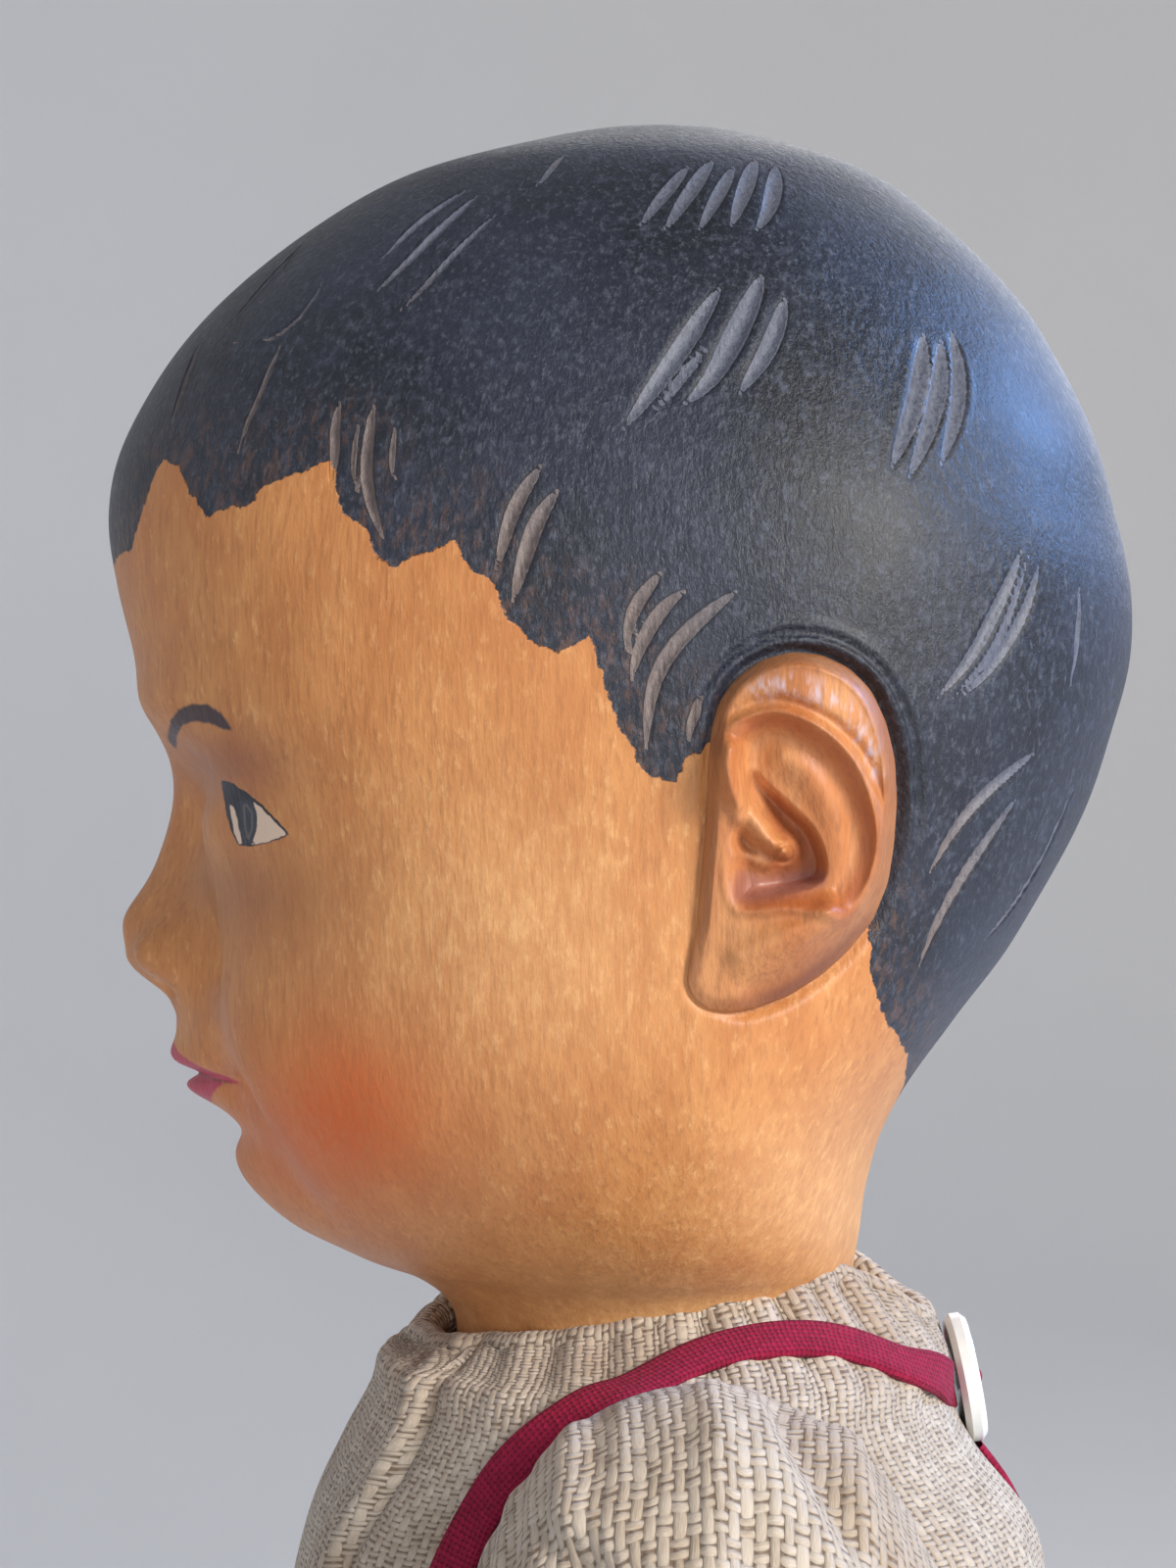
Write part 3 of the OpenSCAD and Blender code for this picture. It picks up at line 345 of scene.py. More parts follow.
# forms of the face: how far forward, place across and height, half width and half height
FACE_FORMS = {
    "muzzle": (6.0, 0, 328.0, 11.5, 8.5), "chin": (2.7, 0, 316.0, 9.0, 4.6),
    "nose tip": (1.5, 0, 337.8, 4.2, 2.8), "nose wings": (2.7, 5.4, 335.4, 2.4, 2.5),
    "beside the wings": (-1.5, 9.6, 335.5, 2.2, 3.6), "nostrils": (-1.6, 2.9, 332.3, 1.6, 0.9),
    "upper lip": (1.35, 0, 326.3, 6.2, 1.6), "groove over it": (-0.6, 0, 330.0, 1.4, 2.1),
    "lower lip": (1.6, 0, 323.6, 5.0, 1.3), "mouth": (-1.4, 0, 325.0, 8.8, 0.6),
    "under the lip": (-1.2, 0, 320.4, 7.0, 1.5), "mouth corners": (-1.5, 10.0, 324.6, 1.9, 2.2),
    "eye hollows": (-3.0, 12.5, 348.8, 6.5, 4.6), "beside the bridge": (-1.4, 6.0, 347.0, 3.2, 4.0),
    "lids": (1.9, 13.8, 346.7, 4.8, 3.1), "brows": (1.2, 13.0, 355.8, 8.0, 3.2),
    "cheeks": (2.4, 18.5, 328.0, 7.5, 8.5)}
NOSE, NOSE_FOOT, NOSE_ROOT = 5.1, (329.6, 335.0), (353, 337.4)
NOSE_NARROW, NOSE_WIDENS = 2.7, 2.5
FOLD_DEPTH, FOLD_X, FOLD_LEAN, FOLD_Z, FOLD_TALL = 0.9, 12.2, 0.12, 325.0, 8.5


def face(x, y, z):
    """How far the face stands forward of the plain form."""
    across = np.abs(x)
    d = sum(push * hill(across, z, *place) for push, *place in FACE_FORMS.values())
    wide = NOSE_NARROW + NOSE_WIDENS * smooth(349, 337, z)
    d = d + NOSE * smooth(*NOSE_ROOT, z) ** 1.2 * smooth(*NOSE_FOOT, z) * ridge(across, 0, wide)
    fold = ridge(across + (z - FOLD_Z + 1) * FOLD_LEAN, FOLD_X, 2.0)
    d = d - FOLD_DEPTH * fold * ridge(z, FOLD_Z, FOLD_TALL)
    return d * smooth(-6, -20, y)


def head_grid(columns, rows):
    """The head with its face, with more rows and columns where the face is."""
    fine = np.linspace(0, len(ROWS) - 1, 4001)
    R = catmull(ROWS, fine)
    steps = np.hypot(np.diff(R[:, 0]), 0.7 * np.abs(np.diff(R[:, 3])))
    run = np.concatenate([[0], np.cumsum(steps * (1 + 0.7 * ridge(R[1:, 0], 336, 26)))])
    R = catmull(ROWS, np.interp(np.linspace(0, run[-1], rows), run, fine))
    z, front, back, wide, middle, front_power, back_power = R.T[:, :, None]
    even = np.linspace(0, 2 * np.pi, columns, endpoint=False)
    turn = (even - 0.30 * np.sin(even))[None, :]
    s, c = np.sin(turn), np.cos(turn)
    power = np.where(c >= 0, front_power, back_power)
    reach = np.where(c >= 0, middle - front, back - middle)
    k = (np.abs(s) ** power + np.abs(c) ** power) ** (-1 / power)
    x = wide * s * k
    y = middle - reach * c * k
    z = z + 0 * x
    return np.stack([x, y - face(x, y, z), z], -1)


def to_picture(P):
    """Where the camera sees a point of the doll's left side, and a point of its right side in a mirror."""
    scale = PX * CAM_DIST / (CAM_DIST - np.abs(P[..., 0]))
    u = PICTURE_W / 2 + (P[..., 1] - AIM[1]) * scale
    return np.stack([u, PICTURE_H / 2 - (P[..., 2] - AIM[2]) * scale], -1)


HEAD_COLUMNS, HEAD_ROWS = 760, 380
HEAD = head_grid(HEAD_COLUMNS, HEAD_ROWS)
head_P, head_N = HEAD.reshape(-1, 3), grid_normals(HEAD).reshape(-1, 3)
across, height = np.abs(head_P[:, 0]), head_P[:, 2]
pic = to_picture(head_P)
facing = (head_P[:, 0] > 0.3) & (head_N[:, 0] > 0.06)
seen_P, seen_pic = head_P[facing], pic[facing]


def lift(u, v):
    """The place on the head's left side that the camera sees at a point of its picture."""
    return seen_P[np.argmin((seen_pic[:, 0] - u) ** 2 + (seen_pic[:, 1] - v) ** 2)]


def spot(u, v, half_u, half_v):
    return hill(pic[:, 0], pic[:, 1], u, v, half_u, half_v)


# The hair, its outline laid out flat: way round from the front, and height
# the lower edge of the hair from the middle of the fringe to the nape, in the picture
EDGE = [(135, 560), (150, 512), (166, 469), (184, 472), (194, 500), (214, 532), (238, 517), (258, 508),
        (266, 494), (292, 490), (335, 473), (341, 502), (352, 523), (374, 545), (383, 568), (405, 580),
        (420, 569), (440, 562), (465, 552), (473, 572), (496, 590), (508, 606), (520, 636), (540, 656),
        (570, 664), (603, 650), (612, 682), (628, 730), (652, 780), (668, 794), (690, 793), (704, 776),
        (730, 757), (770, 780), (860, 880), (892, 936), (889, 962), (887, 985), (893, 1022), (906, 1046),
        (924, 1090)]
# spindle gouges: three places along each in the picture, and half width in mm
GOUGES = [
    (474, 194, 430, 226, 390, 262, .62), (486, 200, 436, 246, 385, 297, .72),
    (504, 220, 458, 266, 410, 318, .5), (701, 170, 674, 202, 653, 231, .72),
    (725, 164, 701, 200, 680, 232, .85), (748, 170, 730, 204, 713, 232, .72),
    (770, 164, 757, 200, 746, 232, .85), (791, 170, 787, 204, 773, 234, .9),
    (734, 293, 682, 374, 635, 437, 1.0), (716, 358, 694, 390, 671, 419, .5),
    (777, 281, 744, 356, 701, 414, 1.15), (802, 304, 784, 354, 755, 400, .9),
    (942, 341, 934, 408, 908, 478, 1.05), (959, 347, 955, 414, 928, 485, 1.0),
    (972, 338, 978, 408, 959, 475, .95), (347, 408, 341, 448, 340, 494, .6),
    (382, 413, 372, 474, 390, 549, .72), (364, 436, 360, 470, 364, 500, .35),
    (553, 473, 522, 520, 507, 582, .75), (570, 498, 541, 546, 525, 613, .85),
    (404, 440, 398, 466, 402, 486, .35), (675, 584, 650, 614, 638, 664, .65),
    (699, 602, 664, 640, 644, 692, .7), (752, 603, 676, 674, 661, 762, .75),
    (716, 710, 708, 730, 704, 756, .5), (1040, 564, 1008, 642, 958, 712, .75),
    (1060, 578, 1034, 650, 986, 710, .7), (1048, 566, 1022, 648, 972, 712, .45),
    (1054, 768, 992, 824, 948, 892, .75), (1036, 816, 968, 918, 938, 986, .8),
    (1095, 804, 1052, 896, 1005, 960, .65), (312, 245, 268, 292, 230, 336, .4),
    (330, 290, 290, 340, 240, 352, .3), (285, 355, 262, 410, 242, 460, .4),
    (205, 350, 188, 392, 176, 432, .45), (1102, 600, 1100, 650, 1092, 700, .5),
    (574, 158, 560, 175, 548, 190, .4)]
GOUGE_WIDE, GOUGE_DEEP, GOUGE_LIP = 0.78, 0.6, 0.22
ROUND_R = 38.0
NAPE = ROUND_R * math.pi
FRINGE_Z, OVER_HEAD = 366.8, 430


def unrolled(P):
    """Way round the head from the front, in mm, and height."""
    turn = np.arctan2(np.abs(P[..., 0]), -(P[..., 1] - 5.0))
    return np.stack([turn * ROUND_R, P[..., 2]], -1)


def hair_field():
    """Distance in from the hair's edge, in mm."""
    outline = [(0.0, FRINGE_Z), (1.8, 367.4)] + [unrolled(lift(*p)) for p in EDGE]
    outline += [(NAPE - 14, 322.5), (NAPE - 7, 324.4), (NAPE + 1, 323.2), (NAPE + 1, OVER_HEAD)]
    outline += [(-1, OVER_HEAD), (-1, FRINGE_Z)]
    crown = smooth(396, 401, height)
    return inside_distance(unrolled(head_P), outline) * (1 - crown) + 8 * crown


def cut_gouge(line, half, deep, side, groove, reach):
    """Cuts one spindle with raised lips into the groove, and notes how near each place is to it."""
    lo, hi = line.min(0) - 4, line.max(0) + 4
    near = np.where(((head_P >= lo) & (head_P <= hi)).all(1) & side)[0]
    if not len(near):
        return
    distance, share = line_distance(head_P[near], line)
    wide = np.maximum(np.sin(np.pi * np.clip(share, 0.0, 1.0) ** 0.85), 0) ** 0.6 + 0.06
    r = distance / (half * wide)
    cut = np.where(r < 1, r**2 - 1, GOUGE_LIP * ridge(r, 1.3, 0.35)) * deep * wide
    groove[near] = np.where(np.abs(cut) > np.abs(groove[near]), cut, groove[near])
    reach[near] = np.minimum(reach[near], r)


def hair_gouges():
    groove, reach = np.zeros(len(head_P)), np.full(len(head_P), 3.0)
    share = np.linspace(0, 1, 9)[:, None]
    for *places, half in GOUGES:
        start, middle, end = np.array(places, float).reshape(3, 2)
        pull = 2 * middle - (start + end) / 2
        bent = (1 - share) ** 2 * start + 2 * share * (1 - share) * pull + share**2 * end
        line = relaxed(np.array([lift(*p) for p in bent]), 2)
        for way, side in ((line, head_P[:, 0] > -1), (mirrored(line), head_P[:, 0] < 1)):
            cut_gouge(way, half * GOUGE_WIDE, half * GOUGE_DEEP, side, groove, reach)
    return groove, reach


EAR = [(728, 742), (736, 716), (752, 694), (778, 676), (808, 668), (838, 671), (866, 684), (888, 706),
       (903, 738), (912, 776), (914, 818), (911, 862), (905, 900), (890, 938), (866, 968), (840, 992),
       (806, 1014), (772, 1027), (742, 1032), (716, 1026), (702, 1006), (704, 980), (712, 944),
       (716, 900), (720, 858), (722, 814), (724, 776)]
UNDER_EAR, EAR_WALL = -1.6, 6
# where the chisel's marks round the ear begin in the picture, going back, and where they end going down
HAIR_BY_EAR, MARKS_FROM, MARKS_TO, RING_FROM = 690, (690, 740), (900, 820), (725, 775)


def with_ear_bed(groove):
    """Adds the marks of the chisel round the ears, and sinks the wood under them."""
    ear_in = inside_distance(pic, rounded(EAR, 3))
    near_ear = across > 20
    in_hair = near_ear & (pic[:, 0] > HAIR_BY_EAR)
    behind = smooth(*MARKS_FROM, pic[:, 0]) * smooth(*MARKS_TO, pic[:, 1])
    rings = 0.5 * ridge(ear_in, -14, 5) - 0.35 * ridge(ear_in, -23, 4) + 0.25 * ridge(ear_in, -30, 5)
    groove = groove - np.where(in_hair, 0.75 * ridge(ear_in, -5, 6) * smooth(*RING_FROM, pic[:, 0]), 0)
    groove -= np.where(near_ear, 0.25 * ridge(ear_in, -2, 3.5), 0)
    groove += np.where(in_hair, rings * behind, 0)
    return np.where(near_ear & (ear_in > EAR_WALL), UNDER_EAR, groove)


def knife_waves():
    """Small hollows and waves that a knife leaves."""
    y, z = head_P[:, 1], height
    return 0.06 * np.sin(z * 0.41 + 2.0 * np.sin(y * 0.13)) * np.sin(y * 0.37 + 1.3 * np.sin(z * 0.17))


# The painted face, in the picture's own places
BROW = [(172, 752), (174, 735), (182, 724), (196, 718), (212, 719), (226, 728), (238, 745), (228, 744),
        (214, 738), (198, 736), (186, 740), (179, 752), (177, 772)]
EYE = [(226, 796), (236, 798), (252, 809), (268, 822), (282, 836), (296, 851), (286, 856), (270, 861),
       (254, 864), (242, 862), (236, 850), (231, 832), (228, 812)]
WHITE = [(258, 818), (268, 826), (280, 838), (293, 851), (284, 855), (270, 860), (256, 862), (261, 848),
         (262, 834)]
INNER = [(234, 821), (239, 824), (242, 838), (245, 852), (246, 861), (243, 861), (239, 851), (236, 838)]
IRIS = [(243, 818), (253, 815), (262, 828), (262, 846), (257, 861), (248, 861), (245, 846)]
# the fold from beside the nose down past the mouth's corner, with a pale highlight painted along it
CREASE = [(220, 1012), (228, 1050), (240, 1100), (266, 1158), (300, 1196), (336, 1226)]
# soft spots of blush, of painted shade and of painted highlight: place in the picture, half width and half
# height
BLUSH, EYE_SHADE, LID_SHADE = (345, 1142, 104, 92), (250, 912, 78, 46), (238, 778, 55, 34)
CHEEK_LIGHT, JAW_LIGHT, NECK_LIGHT = (520, 960, 170, 150), (830, 1230, 120, 110), (700, 1345, 150, 62)
# strength of the painted highlight on the neck, and half width of the painted highlight along the fold, in
# pixels
NECK_GLOW, CREASE_HALF = 1.6, 9
# in mm: the mouth from the front, the brow's inner end, and the value of a place off the face
MOUTH_Z, UPPER_LIP, LOWER_LIP, MOUTH_HALF = 325.0, 2.3, 2.9, 8.4
BROW_END, BROW_TAPER = 8.4, 0.3
OFF_FACE = -5
front_side = head_P[:, 1] < -18


def painted_area(outline):
    return np.where(front_side, inside_distance(pic, outline) / PX, OFF_FACE)


def lips_and_mouth():
    """The lips reach right round the front, where the side view can't say, so they are drawn from there."""
    mouth = MOUTH_Z - 0.35 * (across / 8.2) ** 2
    bow = 0.45 * ridge(across, 2.3, 1.5)
    top = MOUTH_Z + UPPER_LIP - 2.3 * (across / MOUTH_HALF) ** 2 + bow
    foot = MOUTH_Z - LOWER_LIP + 2.6 * (across / 7.8) ** 2
    lips = np.maximum(np.minimum(top - height, height - mouth - 0.02),
                      np.minimum(mouth - 0.02 - height, height - foot))
    line = np.where(front_side & (across < MOUTH_HALF), 0.12 - np.abs(height - mouth), OFF_FACE)
    return np.where(front_side, lips, OFF_FACE), line


def make_head():
    groove, reach = hair_gouges()
    calm = smooth(300, 312, height) * (1 - smooth(392, 402, height))
    carved = head_P + head_N * ((with_ear_bed(groove) + knife_waves()) * calm)[:, None]
    ob = grid_mesh("head_carved", carved.reshape(HEAD.shape), caps=(True, True), flip=True)
    # the brows stop short of the nose
    brow = np.minimum(painted_area(BROW) + 0.12 * smooth(17, 12, across), (across - BROW_END) * BROW_TAPER)
    # painted highlights on the cheek and the jaw
    cheek_light = np.maximum(spot(*CHEEK_LIGHT), spot(*JAW_LIGHT))
    lips, mouth = lips_and_mouth()
    attributes(ob, hair=hair_field(), gouge=reach, brow=brow, eye=painted_area(EYE), iris=painted_area(IRIS),
               white=np.maximum(painted_area(WHITE), painted_area(INNER)), lips=lips, mouth=mouth,
               blush=spot(*BLUSH) * (head_P[:, 1] < 5),
               warm=np.maximum(cheek_light, NECK_GLOW * spot(*NECK_LIGHT)),
               shade=spot(*EYE_SHADE) * front_side, lid=spot(*LID_SHADE) * front_side,
               crease=ridge(line_distance(pic, CREASE)[0], 0, CREASE_HALF) * front_side)
    ob.data.materials.append(head_paint())
    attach(ob, "head")
    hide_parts("head")


# The ears, in the picture's own places
BOWL = [(736, 752), (757, 734), (794, 726), (836, 742), (870, 774), (889, 816), (895, 858), (886, 900),
        (864, 936), (838, 932), (800, 928), (752, 930), (736, 900), (734, 850), (731, 800)]
FOLD = [(800, 772), (822, 786), (842, 812), (856, 846), (858, 884), (848, 926)]
BAND = [(776, 702), (812, 700), (848, 714), (878, 744), (895, 786)]
CONCHA = [(768, 784), (786, 801), (807, 820), (829, 842), (841, 866), (844, 888), (836, 902), (814, 910),
          (784, 916), (756, 922), (749, 914), (751, 890), (747, 866), (749, 842), (754, 820), (758, 798)]
CRUS = [(752, 752), (745, 776), (750, 804), (762, 826), (780, 846), (798, 864)]
TRAGUS = [[(757, 840), (766, 850), (784, 862)], [(758, 872), (768, 876), (784, 882)]]
FLOOR = [(746, 914), (754, 888), (780, 892), (812, 888), (842, 890), (838, 906), (799, 917), (757, 922)]
LOBE = [(850, 930), (822, 946), (790, 960), (754, 976)]
UNDER = [(894, 915), (870, 951), (828, 984), (768, 1010)]
KNOB = (800, 871)
EAR_MIDDLE = np.array([806.0, 856.0])
# where its forms begin in the picture, going back, and where they end or begin going down
PLATE_FRONT, RIM_FRONT, CHANNEL_FRONT, WALL_FRONT = (712, 850), (716, 760), (726, 780), (730, 770)
BOWL_FRONT, PIT_FRONT, LOBE_FRONT = (735, 770), (768, 800), (735, 800)
PLATE_FOOT, RIM_FOOT, WALL_FOOT, LOBE_TOP = (920, 1030), (960, 900), (946, 900), (900, 985)
# points round the ear and rings toward its middle; the first ring lies sunk in the head
EAR_POINTS, EAR_RINGS, EAR_SUNK, EAR_X = 320, 110, 3.2, 37.0


def half_width(y, z):
    """Half width of the plain head at a depth and a height."""
    front, back, wide, middle, front_power, back_power = [
        np.interp(z, ROWS[:, 0], ROWS[:, k]) for k in range(1, 7)]
    reach = np.where(y > middle, back - middle, middle - front)
    power = np.where(y > middle, back_power, front_power)
    return wide * np.maximum(1 - np.abs((y - middle) / reach) ** power, 0) ** (1 / power)


def ear_relief(q):
    """Height of the ear over the head in mm, with the fields that its colours need."""
    u, v = q.T
    rim_in = inside_distance(q, rounded(EAR, 3))
    bowl = inside_distance(q, rounded(BOWL))
    pit = inside_distance(q, rounded(CONCHA))
    fold, _ = line_distance(q, rounded(FOLD, 4, False))
    crus, along_crus = line_distance(q, rounded(CRUS, 4, False))
    # the line of the band where a painted highlight lies
    pale, _ = line_distance(q, rounded(BAND, 4, False))
    knob = np.hypot(u - KNOB[0], v - KNOB[1])
    low = smooth(*LOBE_TOP, v) * smooth(*LOBE_FRONT, u)
    in_pit = smooth(*PIT_FRONT, u)
    plate = 1.3 + 2.9 * smooth(*PLATE_FRONT, u) - 0.9 * smooth(*PLATE_FOOT, v)
    h = plate * np.sqrt(np.clip((rim_in + 1) / (13 + 30 * low), 0, 1))
    # a rolled rim, the band inside it, and the wall that falls into the bowl
    h += 0.35 * ridge(rim_in, 7, 5) * smooth(*RIM_FOOT, v) * smooth(*RIM_FRONT, u)
    h -= 0.55 * ridge(bowl, -11, 7) * smooth(*RIM_FOOT, v) * smooth(*CHANNEL_FRONT, u)
    h += 0.55 * ridge(bowl, -1, 5) * smooth(*WALL_FOOT, v) * smooth(*WALL_FRONT, u)
    h -= 1.9 * smooth(-1, 30, bowl) * smooth(*BOWL_FRONT, u) ** 0.5
    h += 0.75 * ridge(fold, 0, 17)
    h -= 2.1 * smooth(-2, 13, pit) * (0.4 + 0.6 * in_pit)
    h += 2.3 * ridge(crus, 0, 15 - 2 * along_crus) * smooth(0.0, 0.2, along_crus + 0.08)
    for line in TRAGUS:
        h += 0.8 * ridge(line_distance(q, line)[0], 0, 9)
    h += 0.9 * ridge(knob, 0, 13) - 0.55 * ridge(knob, 8, 3)
    h += 0.65 * ridge(line_distance(q, LOBE)[0], 0, 12)
    h -= 0.5 * ridge(line_distance(q, UNDER)[0], 0, 12)
    # painted shade in the concha, less over the crus
    deep = smooth(-3, 10, pit) * (1 - ridge(crus, 0, 10)) * (0.45 + 0.55 * in_pit)
    # colour fields: painted shade in the concha, along the ear's edge and under its lower edge, and on the
    # wall into the bowl; a painted highlight on the band inside the rim; and the concha's floor
    fields = {"concha_shade": deep, "rim": ridge(rim_in, 6, 9) + 1.3 * low * ridge(rim_in, 0, 24),
              "wall_shade": ridge(bowl, 9, 11) * smooth(*WALL_FRONT, u), "pale": ridge(pale, 0, 11),
              "floor": inside_distance(q, rounded(FLOOR))}
    return h, fields


def ear_edge(n):
    """The ear's outline in even steps, rounded off."""
    ring = np.array(EAR + EAR[:1], float)
    steps = np.concatenate([[0], np.cumsum(np.linalg.norm(np.diff(ring, axis=0), axis=1))])
    along = np.linspace(0, steps[-1], n, endpoint=False)
    edge = np.stack([np.interp(along, steps, ring[:, k]) for k in range(2)], -1)
    for _ in range(5):
        edge = (np.roll(edge, 1, 0) + 2 * edge + np.roll(edge, -1, 0)) / 4
    return edge


def make_ears():
    edge = ear_edge(EAR_POINTS)
    shares = np.concatenate([[1.035, 1.012, 1.0], np.linspace(0.99, 0.03, EAR_RINGS)])
    q = (EAR_MIDDLE + shares[:, None, None] * (edge - EAR_MIDDLE)).reshape(-1, 2)
    relief, fields = ear_relief(q)
    x = np.full(len(q), EAR_X)
    for _ in range(4):
        scale = (CAM_DIST - x) / (PX * CAM_DIST)
        y = AIM[1] + (q[:, 0] - PICTURE_W / 2) * scale
        z = AIM[2] - (q[:, 1] - PICTURE_H / 2) * scale
        x = half_width(y, z) + relief
    E = np.stack([x, y, z], -1).reshape(len(shares), len(edge), 3)
    E[0, :, 0] -= EAR_SUNK
    paint = ear_paint()
    for side, way in SIDES:
        ob = grid_mesh("ear_" + side, E if way > 0 else mirrored(E), caps=(False, True), flip=way > 0)
        attributes(ob, **fields)
        ob.data.materials.append(paint)
        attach(ob, "head")


# Wood and paint
class Paint(Nodes):
    """Brushed paint over the upright grain of carved wood."""

    def __init__(self, name):
        super().__init__(name)
        self.co = self.coords()
        self.fine = self.noise(self.scaled(self.co, (1, 1, 0.16)), 2300, 3, 0.6)
        self.figure = self.noise(self.scaled(self.co, (1, 1, 0.4)), 260, 4, 0.6, 0.3)
        self.brush = self.noise(self.scaled(self.co, (1, 1, 0.45)), 1250, 4, 0.7)
        self.rough = self.band(self.brush, 0.3, 0.8, 0.42, 0.62)
        self.height = self.fine * 0.6 + self.brush * 0.7

    def skin(self):
        base = self.mix(self.band(self.figure, 0.3, 0.75), lin(192, 124, 68), lin(210, 146, 86))
        base = self.mix(self.band(self.fine, 0.45, 0.72, 0, 0.42), base, lin(150, 90, 50))
        base = self.mix(self.band(self.brush, 0.52, 0.72, 0, 0.42), base, lin(236, 186, 126))
        patches = self.band(self.noise(self.co, 55, 3, 0.5), 0.35, 0.7, 0, 0.35)
        return self.mix(patches, base, lin(186, 114, 62))

    def uneven(self, scale, detail, rough, amount):
        """Noise about zero."""
        return (self.noise(self.co, scale, detail, rough) - 0.5) * amount

    def done(self, base):
        self.set(Base_Color=base, Roughness=self.rough, Normal=self.bump(self.height, 0.15 * MM, 0.8),
                 Specular_IOR_Level=0.42, Coat_Weight=0.16, Coat_Roughness=0.38)
        return self.mat


def face_paint(n, base, wobble):
    """Blush, painted highlights and painted shade, then brows, eyes and lips with a drawn edge."""
    # painted highlight on the cheek, the jaw and the neck
    base = n.mix(n.attr("warm") * n.band(n.brush, 0.3, 0.7, 0.2, 0.5), base, lin(238, 188, 130))
    base = n.mix(n.attr("blush") * n.band(n.brush, 0.25, 0.7, 0.72, 1.05) * 0.95, base, lin(212, 98, 36))
    # painted shade in the hollow of the cheek under the eye
    base = n.mix(n.attr("shade") * n.band(n.brush, 0.3, 0.7, 0.4, 0.6), base, lin(146, 92, 58))
    # painted shade on the lid, under the brow
    base = n.mix(n.attr("lid") * 0.6, base, lin(136, 78, 60))
    # a pale painted highlight along the fold
    base = n.mix(n.attr("crease") * n.band(n.brush, 0.35, 0.7, 0.05, 0.4), base, lin(190, 148, 138))
    ring = n.band(abs(n.attr("iris") - 0.42), 0.0, 0.16, 0.55, 0.0)
    for area, soft, amount, colour in (
            ("brow", 0.15, 0.93, lin(48, 44, 54)), ("eye", 0.06, 1.0, lin(38, 38, 48)),
            ("white", 0.06, 1.0, lin(222, 196, 172)), ("iris", 0.06, 0.9, lin(52, 54, 66)),
            ("iris", 0.06, ring, lin(120, 116, 104)), ("lips", 0.16, 0.92, lin(182, 56, 86)),
            ("mouth", 0.12, 0.7, lin(92, 28, 36))):
        base = n.mix(n.band(n.attr(area) + wobble, -soft, soft) * amount, base, colour)
    return base


def hair_paint(n, wobble):
    """Blue black paint, scuffed and worn brown by its edge, and pale grey violet in the gouges."""
    hair = n.attr("hair")
    speck = n.noise(n.scaled(n.co, (1, 1, 0.55)), 1900, 3, 0.7)
    scuff = n.noise(n.co, 820, 5, 0.75)
    dark = n.mix(n.band(n.noise(n.co, 42, 4, 0.6), 0.3, 0.7), lin(20, 23, 31), lin(42, 47, 62))
    dark = n.mix(n.band(scuff, 0.5, 0.68, 0, 0.5), dark, lin(72, 78, 94))
    dark = n.mix(n.band(speck, 0.5, 0.74, 0, 0.5), dark, lin(98, 103, 116))
    worn = n.band(hair, 0.5, 8, 1, 0) * n.band(n.brush, 0.46, 0.66, 0, 1)
    dark = n.mix(worn * 0.5, dark, lin(112, 80, 62))
    in_gouge = n.mix(n.band(hair, 2, 20, 0.75, 0), lin(98, 102, 116), lin(126, 108, 96))
    scratch = n.band(n.noise(n.scaled(n.co, (1, 1, 0.3)), 2600, 3, 0.7), 0.3, 0.6, 0.55, 1)
    reach = n.attr("gouge") + wobble * 0.35
    inside = n.band(reach, 0.86, 1.04, 1, 0)
    dark = n.mix(n.band(abs(reach - 1.12), 0, 0.2, 0.6, 0), dark, lin(22, 23, 30))
    dark = n.mix(inside * scratch, dark, in_gouge)
    mask = n.band(hair + n.uneven(900, 3, 0.7, 1.1) + n.uneven(330, 2, 0.5, 1.3), -0.05, 0.1)
    n.rough = n.mix(mask, n.rough, n.band(speck, 0.3, 0.75, 0.38, 0.6))
    n.height = n.height + mask * (speck + scuff) * 1.3 - inside * 1.1
    return mask, dark


def head_paint():
    n = Paint("painted_head")
    wobble = n.uneven(1500, 2, 0.5, 0.25)
    base = face_paint(n, n.skin(), wobble)
    mask, dark = hair_paint(n, wobble)
    return n.done(n.mix(mask, base, dark))


def ear_paint():
    n = Paint("painted_ear")
    # hatching for the painted highlight on the rim's band
    hatch = n.noise(n.scaled(n.co, (1, 1, 0.35)), 1500, 2, 0.6)
    base = n.mix(n.band(n.figure, 0.3, 0.7), lin(190, 118, 66), lin(210, 146, 92))
    # painted shade on the wall that falls into the bowl
    base = n.mix(n.attr("wall_shade") * 0.75, base, lin(162, 80, 40))
    # painted shade in the concha
    base = n.mix(n.attr("concha_shade") * 0.65, base, lin(156, 82, 52))
    base = n.mix(n.band(n.attr("floor"), -6, 8, 0, 0.6), base, lin(146, 98, 96))
    base = n.mix(n.band(n.fine, 0.42, 0.7, 0, 0.35), base, lin(132, 78, 48))
    # a pale blue-violet painted highlight, hatched, on the band inside the rim
    base = n.mix(n.attr("pale") * n.band(hatch, 0.4, 0.66, 0, 0.62), base, lin(206, 196, 210))
    # painted shade along the ear's edge and under its lower edge
    return n.done(n.mix(n.attr("rim") * 0.42, base, lin(122, 68, 42)))


def limb_paint():
    n = Paint("painted_limb")
    return n.done(n.skin())


